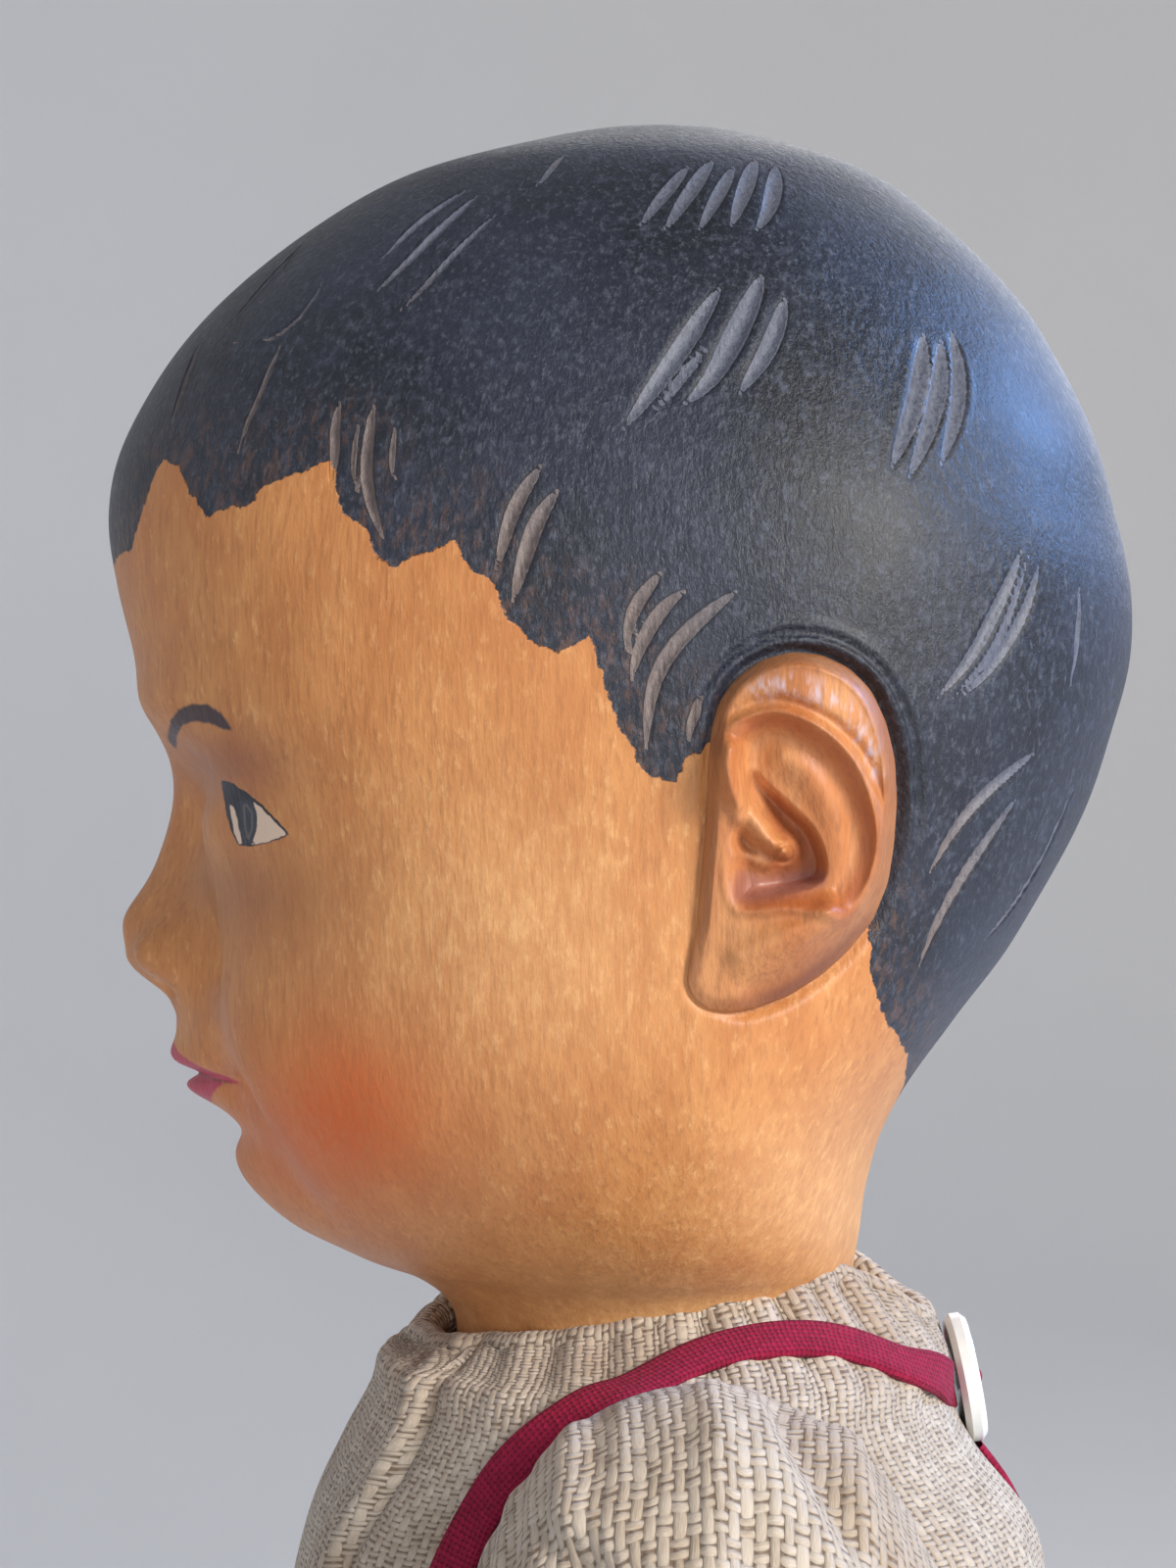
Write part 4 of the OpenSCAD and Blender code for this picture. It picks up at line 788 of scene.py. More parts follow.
def leg_paint():
    """Skin above, then a cream sock with a crimson top, and a black shoe with a bare sole."""
    n = Paint("painted_leg")
    z = n.split(n.co)[2] + (n.noise(n.co, 400, 2) - 0.5) * (0.7 * MM)

    def below(top):
        return n.band(z, (top - 0.1) * MM, (top + 0.1) * MM, 1, 0)

    sock = n.mix(n.band(n.figure, 0.35, 0.7), lin(206, 198, 182), lin(226, 219, 204))
    sock = n.mix(n.band(z, 40.5 * MM, 40.7 * MM, 0, 0.8), sock, lin(134, 36, 62))
    shoe = n.mix(n.band(n.brush, 0.45, 0.7), lin(34, 34, 42), lin(60, 60, 70))
    shoe = n.mix(below(2.8), shoe, lin(96, 62, 40))
    n.rough = n.mix(below(21), n.rough, (0.34, 0.34, 0.34))
    return n.done(n.mix(below(21), n.mix(below(43), n.skin(), sock), shoe))


def bare_wood(name, light, dark, scale=1.0, along=(1, 1, 0.12)):
    n = Nodes(name)
    co = n.coords()
    fine = n.noise(n.scaled(co, along), 1900 * scale, 4, 0.65)
    figure = n.noise(n.scaled(co, along), 170 * scale, 4, 0.6, 0.6)
    base = n.mix(n.band(n.math("SINE", figure * 46.0), -1, 1), light, dark)
    base = n.mix(n.band(fine, 0.45, 0.72, 0, 0.45), base, tuple(v * 0.55 for v in dark))
    base = n.mix(n.band(n.noise(co, 60, 3), 0.35, 0.75, 0, 0.35), base, tuple(v * 0.7 for v in dark))
    n.set(Base_Color=base, Roughness=n.band(fine, 0.3, 0.8, 0.45, 0.68), Normal=n.bump(fine, 0.12 * MM, 0.6))
    return n.mat


# Cloth
def weave(name, pitch, tones, gap_shade, slub, relief, sheen, stripe=None, paired=False):
    """Plain weave drawn in the cloth's own millimetres: warp along v and weft along u."""
    n = Nodes(name)
    u, v, _ = n.split(n.new("UVMap", uv_map="cloth"))
    cloth = n.join(u, v, 0.0)
    a = (u + (n.noise(n.scaled(cloth, (0.11, 0.11, 1)), 1, 2) - 0.5) * 1.3) / pitch
    b = (v + (n.noise(n.scaled(cloth, (0.13, 0.09, 1)), 1, 2, 0.6) - 0.5) * 1.3) / pitch
    warp, weft = n.math("FLOOR", a), n.math("FLOOR", b)
    # every thread has its own thickness, and swells and thins along its way
    warp_tone = n.noise(n.join(warp, b * 0.16, 3.7), 1.7, 2, 0.6)
    weft_tone = n.noise(n.join(a * 0.16, weft, 9.1), 1.9, 2, 0.6)

    def dome(place, tone, thin, thick):
        r = abs(place - 0.5) / n.band(tone, 0.3, 0.7, thin, thick, kind="LINEAR")
        return n.math("SQRT", n.math("MAXIMUM", 1.0 - r * r, 0.0))

    def cosine(turns):
        return n.math("COSINE", turns * math.pi)

    warp_dome = dome(n.math("FRACT", a), warp_tone, 0.40 - slub * 0.12, 0.47 + slub * 0.12)
    weft_place = n.math("FRACT", b * 2.0 if paired else b)
    weft_dome = dome(weft_place, weft_tone, 0.36 - slub * 0.08, 0.46 + slub * 0.06)
    # each thread goes over and under by turns
    warp_h = (warp_dome + cosine(warp) * cosine(b - 0.5) * 0.55) * (warp_dome > 0.01)
    weft_h = (weft_dome * 0.9 - cosine(weft) * cosine(a - 0.5) * 0.55) * (weft_dome > 0.01)
    warp_top = warp_h > weft_h
    height = n.math("MAXIMUM", n.math("MAXIMUM", warp_h, weft_h), 0.0)
    fibre = n.mix(warp_top, n.noise(n.join(a * 1.4, b * 9.0, 5.0), 1.0, 3, 0.7),
                  n.noise(n.join(a * 9.0, b * 1.4, 0.0), 1.0, 3, 0.7))
    base = n.mix(n.band(n.mix(warp_top, weft_tone, warp_tone), 0.3, 0.7), tones[0], tones[1])
    base = n.mix(n.band(fibre, 0.35, 0.75, 0, 0.6), base, tones[2])
    if stripe:
        base = n.mix(n.band(n.noise(n.scaled(cloth, (0.05, 0.05, 1)), 1, 3), 0.4, 0.7) * 0.5, base, stripe)
    # painted shade in the gaps between the threads
    base = n.mix(n.band(height, 0.25, 0.95, 0.85, 0.0), base, gap_shade)
    n.set(Base_Color=base, Roughness=n.band(fibre, 0.3, 0.8, 0.72, 0.95), Sheen_Weight=sheen,
          Specular_IOR_Level=0.22, Normal=n.bump(height + fibre * 0.35, relief * MM))
    return n.mat


linen = weave("linen_weave", 1.02, (lin(176, 158, 137), lin(202, 188, 170), lin(224, 214, 200)),
              lin(112, 88, 66), slub=0.6, relief=0.26, sheen=0.3, stripe=lin(158, 130, 102), paired=True)
tape_knit = weave("tape_knit", 0.46, (lin(126, 12, 46), lin(152, 20, 60), lin(172, 36, 76)),
                  lin(84, 5, 28), slub=0.1, relief=0.11, sheen=0.03)
trouser_cloth = weave("trouser_cloth", 0.7, (lin(52, 48, 56), lin(66, 61, 70), lin(84, 78, 86)),
                      lin(22, 20, 25), slub=0.3, relief=0.16, sheen=0.35)

# The shirt, on the solids' own stations
# torso: share of its length, of its half width, and of its half depth in front and behind
TORSO = np.array([[0, 1.03, 0.92, 0.68], [0.05, 1.03, 0.86, 0.7], [0.1, 1.03, 0.7, 0.74],
                  [0.14, 1.03, 0.74, 0.78], [0.2, 1.0, 0.84, 0.79], [0.34, 0.95, 0.88, 0.76],
                  [0.6, 1.0, 0.93, 0.92], [0.84, 1.03, 0.99, 1.04], [1, 1.03, 0.99, 1.04],
                  [1.09, 1.01, 0.98, 1.02], [1.12, 0.93, 0.94, 0.97]])
# shirt: share of the way from the waist to the torso's top, of its ease in front and behind, and of its folds
SHIRT = [[-0.1, 0, 0, 0], [0, 0, 0, 0.2], [0.06, 0.5, 0.5, 0.7], [0.14, 0.85, 0.8, 1], [0.27, 1, 1, 1],
         [0.42, 1.02, 1.04, 0.8], [0.58, 1.0, 1.06, 0.6], [0.75, 0.88, 1.06, 0.5], [0.86, 0.7, 1.0, 0.4],
         [0.935, 0.44, 0.58, 0.3], [0.985, 0.28, 0.44, 0.15]]
# yoke: share of its rise, and of the way in from the shoulders to the neck at the side, in front and behind
YOKE = [[0.2, 0.82, 0.72, 0.73], [0.38, 0.63, 0.5, 0.68], [0.6, 0.36, 0.36, 0.5], [1, 0.1, 0.22, 0.3]]
YOKE_RISE, SHIRT_EASE, SIDE_EASE, LEAST_EASE = 5.6, 10.4, 2.3, 1.6
SHIRT_COLUMNS, SHIRT_ROWS, YOKE_ROWS, YOKE_FROM = 301, 70, 74, 9
LINEN_THICK, SLEEVE_THICK, TROUSER_THICK = 0.7, 0.6, 0.6
# the neck edge: angle from the front, height, and reach from the neck's axis
NECK_EDGE = np.array([
    [-180, 303.2, 24.4], [-168, 304.6, 22.8], [-155, 307.6, 19.8], [-140, 308.7, 18.7], [-120, 308.1, 18.4],
    [-90, 306.3, 18.3], [-60, 305.2, 18.4], [-35, 304.6, 18.7], [-15, 303.6, 19.4], [0, 302.4, 19.8],
    [20, 302.2, 19.4], [37, 302.9, 18.9], [60, 303.7, 18.5], [75, 304.4, 18.4], [98, 306.4, 18.3],
    [119, 308.0, 18.4], [145, 308.6, 18.8], [156, 307.6, 19.8], [168, 304.6, 22.8], [180, 303.2, 24.4]])


def torso_at(share):
    """The torso's half width and its half depths in front and behind."""
    sizes = [np.interp(share, TORSO[:, 0], TORSO[:, k]) for k in (1, 2, 3)]
    return np.array(sizes) * (TORSO_W / 2, TORSO_D / 2, TORSO_D / 2)


def shirt_stations():
    """Height, half width, reach in front and behind, and depth of the folds."""
    rows = []
    for share, front, back, fold in SHIRT:
        z = WAIST_Z + share * (TORSO_TOP - WAIST_Z)
        _, torso_front, torso_back = torso_at((z - HIP_Z) / TORSO_LEN)
        rows.append([z, TORSO_W / 2 + (SIDE_EASE if front > 0 else LEAST_EASE),
                     torso_front + max(LEAST_EASE, SHIRT_EASE * front),
                     torso_back + max(LEAST_EASE, SHIRT_EASE * back), fold])
    hole = NECK_R + 1.1
    _, torso_front, torso_back = torso_at(1)
    for share, wide, front, back in YOKE:
        rows.append([TORSO_TOP + share * YOKE_RISE, hole + wide * (TORSO_W / 2 + SIDE_EASE - hole),
                     hole + front * (torso_front + SHIRT_EASE * .3 - hole),
                     hole + back * (torso_back + SHIRT_EASE * .6 - hole), 0])
    return np.array(rows)


stations = shirt_stations()
LAST = len(stations) - 1


def border_x(t):
    """How far the placket's border lies from the middle."""
    return 11.2 + 7.0 * smooth(14.6, 8.6, t) - 6.0 * smooth(8.0, 3.0, t)


def shirt_point(a, t, detail=1.0):
    """Outer side of the shirt at an angle from the front and a station; arrays of equal shape."""
    z, half, front, back, depth = np.moveaxis(catmull(stations, t.ravel()).reshape(*t.shape, 5), -1, 0)
    k = corner(a, 2.8 - 0.8 * smooth(HIP_Z + 0.98 * TORSO_LEN, TORSO_TOP, z))
    sa, ca = np.sin(a), np.cos(a)
    wide = np.abs(sa)
    x = half * sa * k
    reach = np.where(ca > 0, front, back)
    fold = depth * 0.9 * np.cos(11 * a) * (1 - smooth(0.6, 0.9, wide))
    fold += detail * depth * 0.5 * np.cos(23 * a + 1.7 * np.sin(t)) * (1 - smooth(0.55, 0.8, wide))
    # the placket's near edge slants outward and down, with a rolled and corded border
    past = np.abs(x) - border_x(t)
    on_front = (ca > 0) & (t > 1.5)
    pleat = np.where(on_front, 0.9 * (1 - smooth(-0.5, 0.5, past)), 0)
    cord = detail * np.where(on_front, 1.15 * ridge(past, -0.2, 0.7) - 0.55 * ridge(past, 1.5, 0.8), 0)
    # fine gathers run down from the neck edge and up from the waistband
    gather = detail * 0.38 * smooth(9.2, 13.2, t) * (1 - 0.6 * smooth(13.2, 14, t)) \
        * (np.cos(31 * a + 2 * np.sin(3 * a)) + 0.6 * np.cos(19 * a + 1.1)) * (1 - 0.5 * ridge(a, 0, 0.5))
    waist = detail * 0.45 * smooth(4, 1.2, t) * np.cos(37 * a + np.sin(5 * a))
    # drag lines from the arm down across the chest and the back
    drag = detail * 0.8 * ridge(t, 7.0 - 3.0 * (1 - wide), 1.3) * smooth(0.35, 0.8, wide) \
        * (1 - smooth(0.85, 0.95, wide))
    y = NECK_Y - ((reach + fold + waist + drag) * ca * k + pleat)
    z = z - 2.3 * smooth(LAST - 3, LAST, t) * ca
    # the last two stations turn into the neck edge
    e = smooth(LAST - 2.6, LAST, t)
    turn = np.degrees((a + np.pi + 1e-9) % (2 * np.pi) - np.pi)
    edge_z, edge_r = [np.interp(turn, NECK_EDGE[:, 0], NECK_EDGE[:, k]) for k in (1, 2)]
    edge_r = edge_r + 0.22 * np.cos(13 * a + 0.6) * detail
    x = x * (1 - e) + edge_r * 0.97 * sa * e
    y = y * (1 - e) + (NECK_Y - edge_r * ca) * e
    z = z * (1 - e) + edge_z * e
    r = np.hypot(x, y - NECK_Y) + 1e-6
    push = 1 + (gather * (t > 8) + cord) / r
    return np.stack([x * push, NECK_Y + (y - NECK_Y) * push, z + 0.3 * gather], -1)


def from_neck_axis(P):
    """The level way from the neck's axis to each point."""
    return (P - [0, NECK_Y, 0]) * [1, 1, 0]


def make_shirt():
    body, yoke = np.linspace(0.0, YOKE_FROM, SHIRT_ROWS), np.linspace(YOKE_FROM, LAST, YOKE_ROWS)
    t_rows = np.concatenate([body, yoke[1:]])
    wall = shirt_point(*np.meshgrid(np.linspace(-np.pi, np.pi, SHIRT_COLUMNS), t_rows))
    # the edge rolls over and goes down inside
    top = wall[-1]
    inward, up = -unit(from_neck_axis(top)), np.array([0, 0, 1.0])
    roll = [top + inward * (0.75 * (1 - math.cos(b))) + up * (0.85 * math.sin(b))
            for b in np.linspace(0.3, math.pi, 8)]
    inside = [roll[-1] - up * d - inward * 0.25 * d for d in (0.8, 1.8)]
    wall = np.concatenate([wall, np.array(roll + inside)])
    shirt = grid_mesh("shirt_body_linen", wall, closed=False, flip=True, uv=cloth_uv(wall, 60))
    cloth_thickness(shirt, LINEN_THICK)
    shirt.data.materials.append(linen)
    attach(shirt, "body")
    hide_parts("shirt_body")


def border_path(n):
    """The line of the placket's border on the doll's left, from the neck edge down."""
    a = np.linspace(0.05, 1.45, 281)
    line = []
    for t in np.linspace(LAST - 0.05, 2.2, n):
        row = shirt_point(a, np.full(len(a), t), 0.0)
        line.append(row[np.argmax(row[:, 0] >= border_x(t))])
    return relaxed(np.array(line), 12)


def make_border(name, way):
    p = border_path(170)
    along = unit(np.gradient(p, axis=0))
    out = from_neck_axis(p)
    out = unit(out - along * np.sum(out * along, 1, keepdims=True))
    wide = np.cross(along, out)
    w = np.linspace(0, 2 * np.pi, 15)[None, :, None]
    P = p[:, None] + out[:, None] * (0.35 + 0.55 * np.cos(w)) + wide[:, None] * (0.62 * np.sin(w))
    if way < 0:
        P = mirrored(P)
    ob = grid_mesh(name, P, closed=False, flip=way > 0, uv=cloth_uv(P))
    ob.data.materials.append(linen)
    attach(ob, "body")


# The sleeves
# angle of each ring from level, and its reach and half depth in shoulder radii
SLEEVE = [[90, 3.08, 1.47], [74, 3.3, 1.58], [56, 3.32, 1.64], [38, 3.1, 1.65], [20, 2.72, 1.58],
          [5, 2.35, 1.48]]
SLEEVE_X = TORSO_W / 2 + SIDE_EASE + 0.4
SLEEVE_DROP = SHOULDER_R * 1.48
SLEEVE_LEN = UPPER_ARM - 17
SLEEVE_COLUMNS, SLEEVE_ROWS, SLEEVE_DEEP = 193, 110, 14.3
# the hem turned in: share of its reach, and height over the sleeve's end in mm
HEM_TURN = [(0.955, -0.35), (0.93, 1.2), (0.92, 4.5)]
# creases in the side view: their lines, depth, half width, swelling beside them and where that lies
CREASES = [([(9.5, 307), (12, 302.5), (16.5, 296), (21, 289), (23, 282)], 1.1, 1.3, 0.8, (-3.2, -0.6)),
           ([(-7, 296.5), (-2, 293.5), (5, 291), (13, 289.6)], 1.0, 1.2, 0.75, (0.4, 2.6)),
           ([(-9, 287), (-2, 283), (6, 281.5)], 0.8, 1.5, 0.5, (0.3, 2.8)),
           ([(3, 283), (10, 277), (16, 273)], 0.8, 1.5, 0.5, (0.3, 2.8))]


def down_arm(length):
    """A place on the upper arm's axis."""
    return np.array([SHOULDER_X + length * math.sin(ARM_SLANT), SHOULDER_Y,
                     SHOULDER_Z - length * math.cos(ARM_SLANT)])


def sleeve_rings(a):
    """The solid's rings, from the seam over the shoulder and down to the hem."""
    rings = []
    gather = 0.8 * (np.cos(9 * a) - 1) * (1 + np.cos(a)) / 4
    for k, (angle, reach, deep) in enumerate(SLEEVE):
        g, angle = gather * min(k, 1), math.radians(angle)
        reach, deep = reach * SHOULDER_R, deep * SHOULDER_R
        r = (reach + 1) / 2 + ((reach - 1) / 2 + g) * np.cos(a)
        rings.append(np.stack([SLEEVE_X + r * math.cos(angle), SHOULDER_Y - (deep + g) * np.sin(a),
                               SHOULDER_Z - SLEEVE_DROP + r * math.sin(angle)], -1))
    for share in (1 / 3, 2 / 3, 1):
        mid = down_arm(SLEEVE_DROP + (SLEEVE_LEN - SLEEVE_DROP) * share)
        wide = min(SHOULDER_R * 1.06, (mid[0] - SLEEVE_X) / math.cos(ARM_SLANT)) + gather
        level, down = wide * np.cos(a) * math.cos(ARM_SLANT), wide * np.cos(a) * math.sin(ARM_SLANT)
        rings.append(mid + np.stack([level, -(SLEEVE_DEEP + gather) * np.sin(a), down], -1))
    return np.array(rings)


def crease_depth(yz):
    """Valleys along lines in the side view, each with a swelling beside it."""
    total = 0
    for line, deep, wide, rise, to in CREASES:
        valley, share = line_distance(yz, line)
        swell, _ = line_distance(yz, np.add(line, to))
        fade = smooth(0, 0.12, share) * smooth(1, 0.7, share)
        total = total + (rise * ridge(swell, 0, 1.9 * wide) - deep * ridge(valley, 0, wide)) * fade
    return total


def sleeve_grid():
    a = np.linspace(-np.pi, np.pi, SLEEVE_COLUMNS)
    R = sleeve_rings(a)
    rows = np.linspace(0, len(R) - 1, SLEEVE_ROWS)
    S = catmull(R.reshape(len(R), -1), rows).reshape(len(rows), len(a), 3)
    S[0], S[-1] = R[0], R[-1]
    a, row = np.meshgrid(a, rows)
    top_side = (1 + np.cos(a)) / 2
    # puffed gathers fan out from the seam over the shoulder, then fade toward the hem
    fan = 0.22 * np.cos(17 * a + 1.2 * np.sin(2 * a)) + 0.16 * np.cos(29 * a + 0.9)
    fan = fan * smooth(0.0, 0.7, row) * (1 - 0.75 * smooth(1.6, 4.5, row)) * smooth(0.25, 0.75, top_side)
    soft = 0.55 * np.cos(5 * a + 0.8 * row) * smooth(2.2, 4, row) \
        + 0.35 * np.cos(11 * a - 0.6 * row) * smooth(4.5, 7.5, row)
    seam = -0.5 * ridge(row, 7.35, 0.08)
    creases = crease_depth(S[..., 1:].reshape(-1, 2)).reshape(a.shape) * (smooth(33, 38, S[..., 0]) + 0.25)
    amount = (fan + soft * 0.8 + seam) * (0.35 + 0.65 * top_side) + creases
    S = S + grid_normals(S, closed=False) * np.minimum(amount, 0.9)[..., None]
    S[..., 0] = np.maximum(S[..., 0], SLEEVE_X - 0.25)
    # the front lies back in a sharp fold, as the picture shows
    fold_y = -8.6 - 4.2 * smooth(305, 294, S[..., 2])
    past = S[..., 1] - fold_y
    S[..., 1] = fold_y + np.where(past < 0, 0.22 * past, past)
    # the hem turns in and up
    mid = down_arm(SLEEVE_LEN)
    hem = [mid + (S[-1] - mid) * share + [0, 0, up] for share, up in HEM_TURN]
    return np.concatenate([S, np.array(hem)])


def make_sleeves():
    S = sleeve_grid()
    for side, way in SIDES:
        P = S if way > 0 else mirrored(S)
        sleeve = grid_mesh("sleeve_linen_" + side, P, closed=False, flip=way < 0, uv=cloth_uv(P))
        cloth_thickness(sleeve, SLEEVE_THICK)
        sleeve.data.materials.append(linen)
        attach(sleeve, "upper_arm_" + side)
        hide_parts("sleeve_" + side)


# The braces
# their ways on the shirt: angle from the front, and station
WAY = [[40, 1.15], [42, 2.4], [46, 4.4], [53, 6.4], [57, 8], [60, 9], [64, 9.7], [72, 10.5], [84, 11.6],
       [102, 12.4], [129, 12.3], [150, 11.4], [166, 10.5], [174, 10.05]]
TAIL = [[180, 1.15], [180, 3], [180, 6], [180, 8.8]]
TAPE_WIDE, TAPE_THICK, TAPE_LIFT = 3.7, 0.81, 0.55
# section of a tape: shares of its width and thickness
TAPE_RING = [(-.5, .25), (-.5, .75), (-.46, 1), (-.25, 1.04), (0, 1.06), (.25, 1.04), (.46, 1), (.5, .75),
             (.5, .25), (.46, 0), (0, -.02), (-.46, 0), (-.5, .25)]


def make_tape(name, node, way, count, mirror=False):
    degrees, t = curve_rows(way, count).T
    a = np.radians(degrees)
    across_way = shirt_point(a + 0.02, t, 0.0) - shirt_point(a - 0.02, t, 0.0)
    up_way = shirt_point(a, t + 0.1, 0.0) - shirt_point(a, t - 0.1, 0.0)
    out = unit(relaxed(unit(np.cross(across_way, up_way)), 6))
    middle = relaxed(shirt_point(a, t, 0.0), 6) + out * TAPE_LIFT
    wide = unit(np.cross(unit(np.gradient(middle, axis=0)), out))
    P = np.stack([middle + wide * u * TAPE_WIDE + out * h * TAPE_THICK for u, h in TAPE_RING], 1)
    if mirror:
        P = mirrored(P)
    ob = grid_mesh(name, P, closed=False, flip=not mirror, uv=cloth_uv(P))
    ob.data.materials.append(tape_knit)
    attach(ob, "body")
    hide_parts(node)


# The trousers, in two halves
SEAT_EASE, HEM_Z, BAND_Z = 2.6, 107, 210
LEG_W, LEG_D, FLARE = 15.7, 17.6, 1.6
SIDE_SHARE = 1.5 * np.pi
# room added in front where the hip bends
PLUCK_Z, PLUCK = 169, 1.0
SEAT_ROWS, LEG_ROWS, TROUSER_COLUMNS = 26, 40, 121


def trouser_ring(z, b):
    """One ring of the doll's left half; b runs from the front middle round the side, back by the seam."""
    low = smooth(158, 140, z)
    ease = SEAT_EASE + 1.4 * (BAND_Z - z) / 38
    _, front, back = torso_at(max(0, (z - HIP_Z) / TORSO_LEN))
    half, front, back = TORSO_W / 2 + ease, front + ease, max(back, 13.5 if z < 190 else 0) + ease
    outside = b <= SIDE_SHARE
    g = b / 1.5
    reach = np.where(np.cos(g) > 0, front, back) * np.cos(g) * corner(g, 3.2)
    seam = (front + back) * (b - SIDE_SHARE) / (np.pi / 2) - back
    seat = np.stack([np.where(outside, half * np.sin(g) * corner(g, 3.2), 0.0),
                     NECK_Y - np.where(outside, reach, seam)], -1)
    # ring of the leg, matched by the same share of the way round
    down = (162 - z) / 55
    g = np.where(outside, g, np.pi + (b - SIDE_SHARE) * 2)
    leg = np.stack([HIP_X + LEG_W * np.sin(g) * corner(g, 2.3),
                    -(LEG_D + FLARE * max(0, down)) * np.cos(g) * corner(g, 2.3)], -1)
    p = seat * (1 - low) + leg * low
    out = unit(p - [HIP_X * low + (1 - low) * 10, NECK_Y * (1 - low)])
    wave = 0.55 * np.cos(7 * b + 0.05 * z) * smooth(0, 1, down + 0.3) + 0.4 * np.cos(13 * b - 0.11 * z) \
        + 0.35 * np.cos(29 * b) * smooth(196, 203, z) * (1 - smooth(203, 204, z))
    band = 0.55 * smooth(203.2, 203.8, z)
    hem = 0.35 * smooth(113.4, 113.0, z)
    room = PLUCK * ridge(z, PLUCK_Z, 9) * smooth(0, -8, p[:, 1])
    p = p + out * (wave * 0.8 * smooth(0, 6, p[:, 0]) + band + hem + room)[:, None]
    p[:, 0] = np.maximum(p[:, 0], 0.02 + 0.75 * low)
    return np.column_stack([p, np.full(len(b), z)])


def make_trousers():
    seat, legs = np.linspace(BAND_Z, HIP_Z, SEAT_ROWS), np.linspace(HIP_Z - 2, HEM_Z, LEG_ROWS)
    way_round = np.linspace(0, 2 * np.pi, TROUSER_COLUMNS)
    H = np.array([trouser_ring(z, way_round) for z in np.concatenate([seat, legs])])
    for side, way in SIDES:
        P = H if way > 0 else mirrored(H)
        half = grid_mesh("trousers_" + side, P, closed=False, flip=way < 0, uv=cloth_uv(P))
        cloth_thickness(half, TROUSER_THICK)
        half.data.materials.append(trouser_cloth)
        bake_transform(half)
        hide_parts("trouser_leg_" + side, *(["trouser_seat"] if way > 0 else []))


# The limbs
# hand: share of its length, half width, half thickness, and depth of the cuts between the fingers
HAND = [[0, 0.4, 0.4, 0], [0.1, 0.42, 0.37, 0], [0.25, 0.53, 0.34, 0], [0.42, 0.6, 0.32, 0.1],
        [0.52, 0.61, 0.31, 0.4], [0.62, 0.6, 0.29, 1], [0.76, 0.57, 0.26, 1], [0.88, 0.5, 0.22, 1],
        [0.96, 0.38, 0.16, 1], [1, 0.18, 0.07, 0.5]]
# thumb: share of the hand's length, place forward and radius
THUMB = [[0.1, 0.05, 0.07], [0.2, 0.2, 0.115], [0.34, 0.31, 0.115], [0.46, 0.385, 0.1],
         [0.56, 0.43, 0.075], [0.61, 0.44, 0.03]]
# shoe: share of its height, reach in front and behind as shares of its length, and share of its half width
SHOE = [[0, 0.64, 0.34, 0.94], [0.07, 0.66, 0.36, 1], [0.2, 0.66, 0.36, 1], [0.36, 0.62, 0.345, 0.97],
        [0.52, 0.53, 0.33, 0.89], [0.68, 0.4, 0.31, 0.79], [0.84, 0.28, 0.29, 0.71], [1, 0.21, 0.26, 0.66]]
# the welt: a lip over the sole, and the step back from it
WELT = [[0.105, 0.662, 0.362, 1.0], [0.112, 0.645, 0.352, 0.955], [0.13, 0.645, 0.352, 0.955]]
HAND_LEN, PALM = 30, 15
SHOE_LEN, SHOE_HALF, SHOE_H = 60, 12.5, 22
TONGUE_W = 6.4


def lathe(profile, n=96, step=0.5):
    """A turned form from radii and heights, with rows in even steps."""
    profile = np.asarray(profile, float)
    run = np.concatenate([[0], np.cumsum(np.linalg.norm(np.diff(profile, axis=0), axis=1))])
    t = np.unique(np.concatenate([np.arange(0, run[-1], step), run]))
    r, z = [np.interp(t, run, profile[:, k]) for k in range(2)]
    b = np.linspace(0, 2 * np.pi, n, endpoint=False)
    return np.stack([np.outer(r, np.cos(b)), np.outer(r, np.sin(b)), np.repeat(z[:, None], n, 1)], -1)


def limb_profile(top, cope, shape, n, foot):
    """A limb that starts in a ball end, coped to the joint, and runs down through a shape."""
    edge = -math.degrees(math.asin(math.sqrt(cope * cope - top * top) / cope))
    ball = [(cope * math.cos(v), cope * math.sin(v)) for v in np.radians(np.linspace(-90, edge, 9))]
    ball[0] = (0.01, ball[0][1])
    return ball + [tuple(p) for p in curve_rows([ball[-1], *shape], n)[1:]] + [(0.01, foot)]


def bevelled(P, cope, bend, way):
    """A limb cut back on the side that it bends toward, clear of the ball that it turns on."""
    lean = math.radians((180 - bend) / 2 - 2)
    across_cut = np.array([way * math.cos(lean), math.sin(lean)])
    along_cut = np.array([way * math.sin(lean), -math.cos(lean)])
    yz = P[..., 1:]
    reach = np.maximum(yz @ along_cut, np.sqrt(np.maximum(cope ** 2 - P[..., 0] ** 2, 0)))
    over = (yz @ across_cut > 0) & (P[..., 2] < 0)
    Q = P.copy()
    Q[..., 1:] = np.where(over[..., None], reach[..., None] * along_cut, yz)
    return Q


def tongue_grid(r, reach):
    """Flat tongue with a round head, as rings across it."""
    outline = [(r * math.cos(v), r * math.sin(v)) for v in np.linspace(0, np.pi, 25)]
    outline = np.array(outline + [(-r, -reach), (r, -reach)])
    half = TONGUE_W / 2
    rings = ((-half, 0.94), (-half + 0.35, 1), (half - 0.35, 1), (half, 0.94))
    return np.array([np.column_stack([np.full(len(outline), x), outline * share]) for x, share in rings])


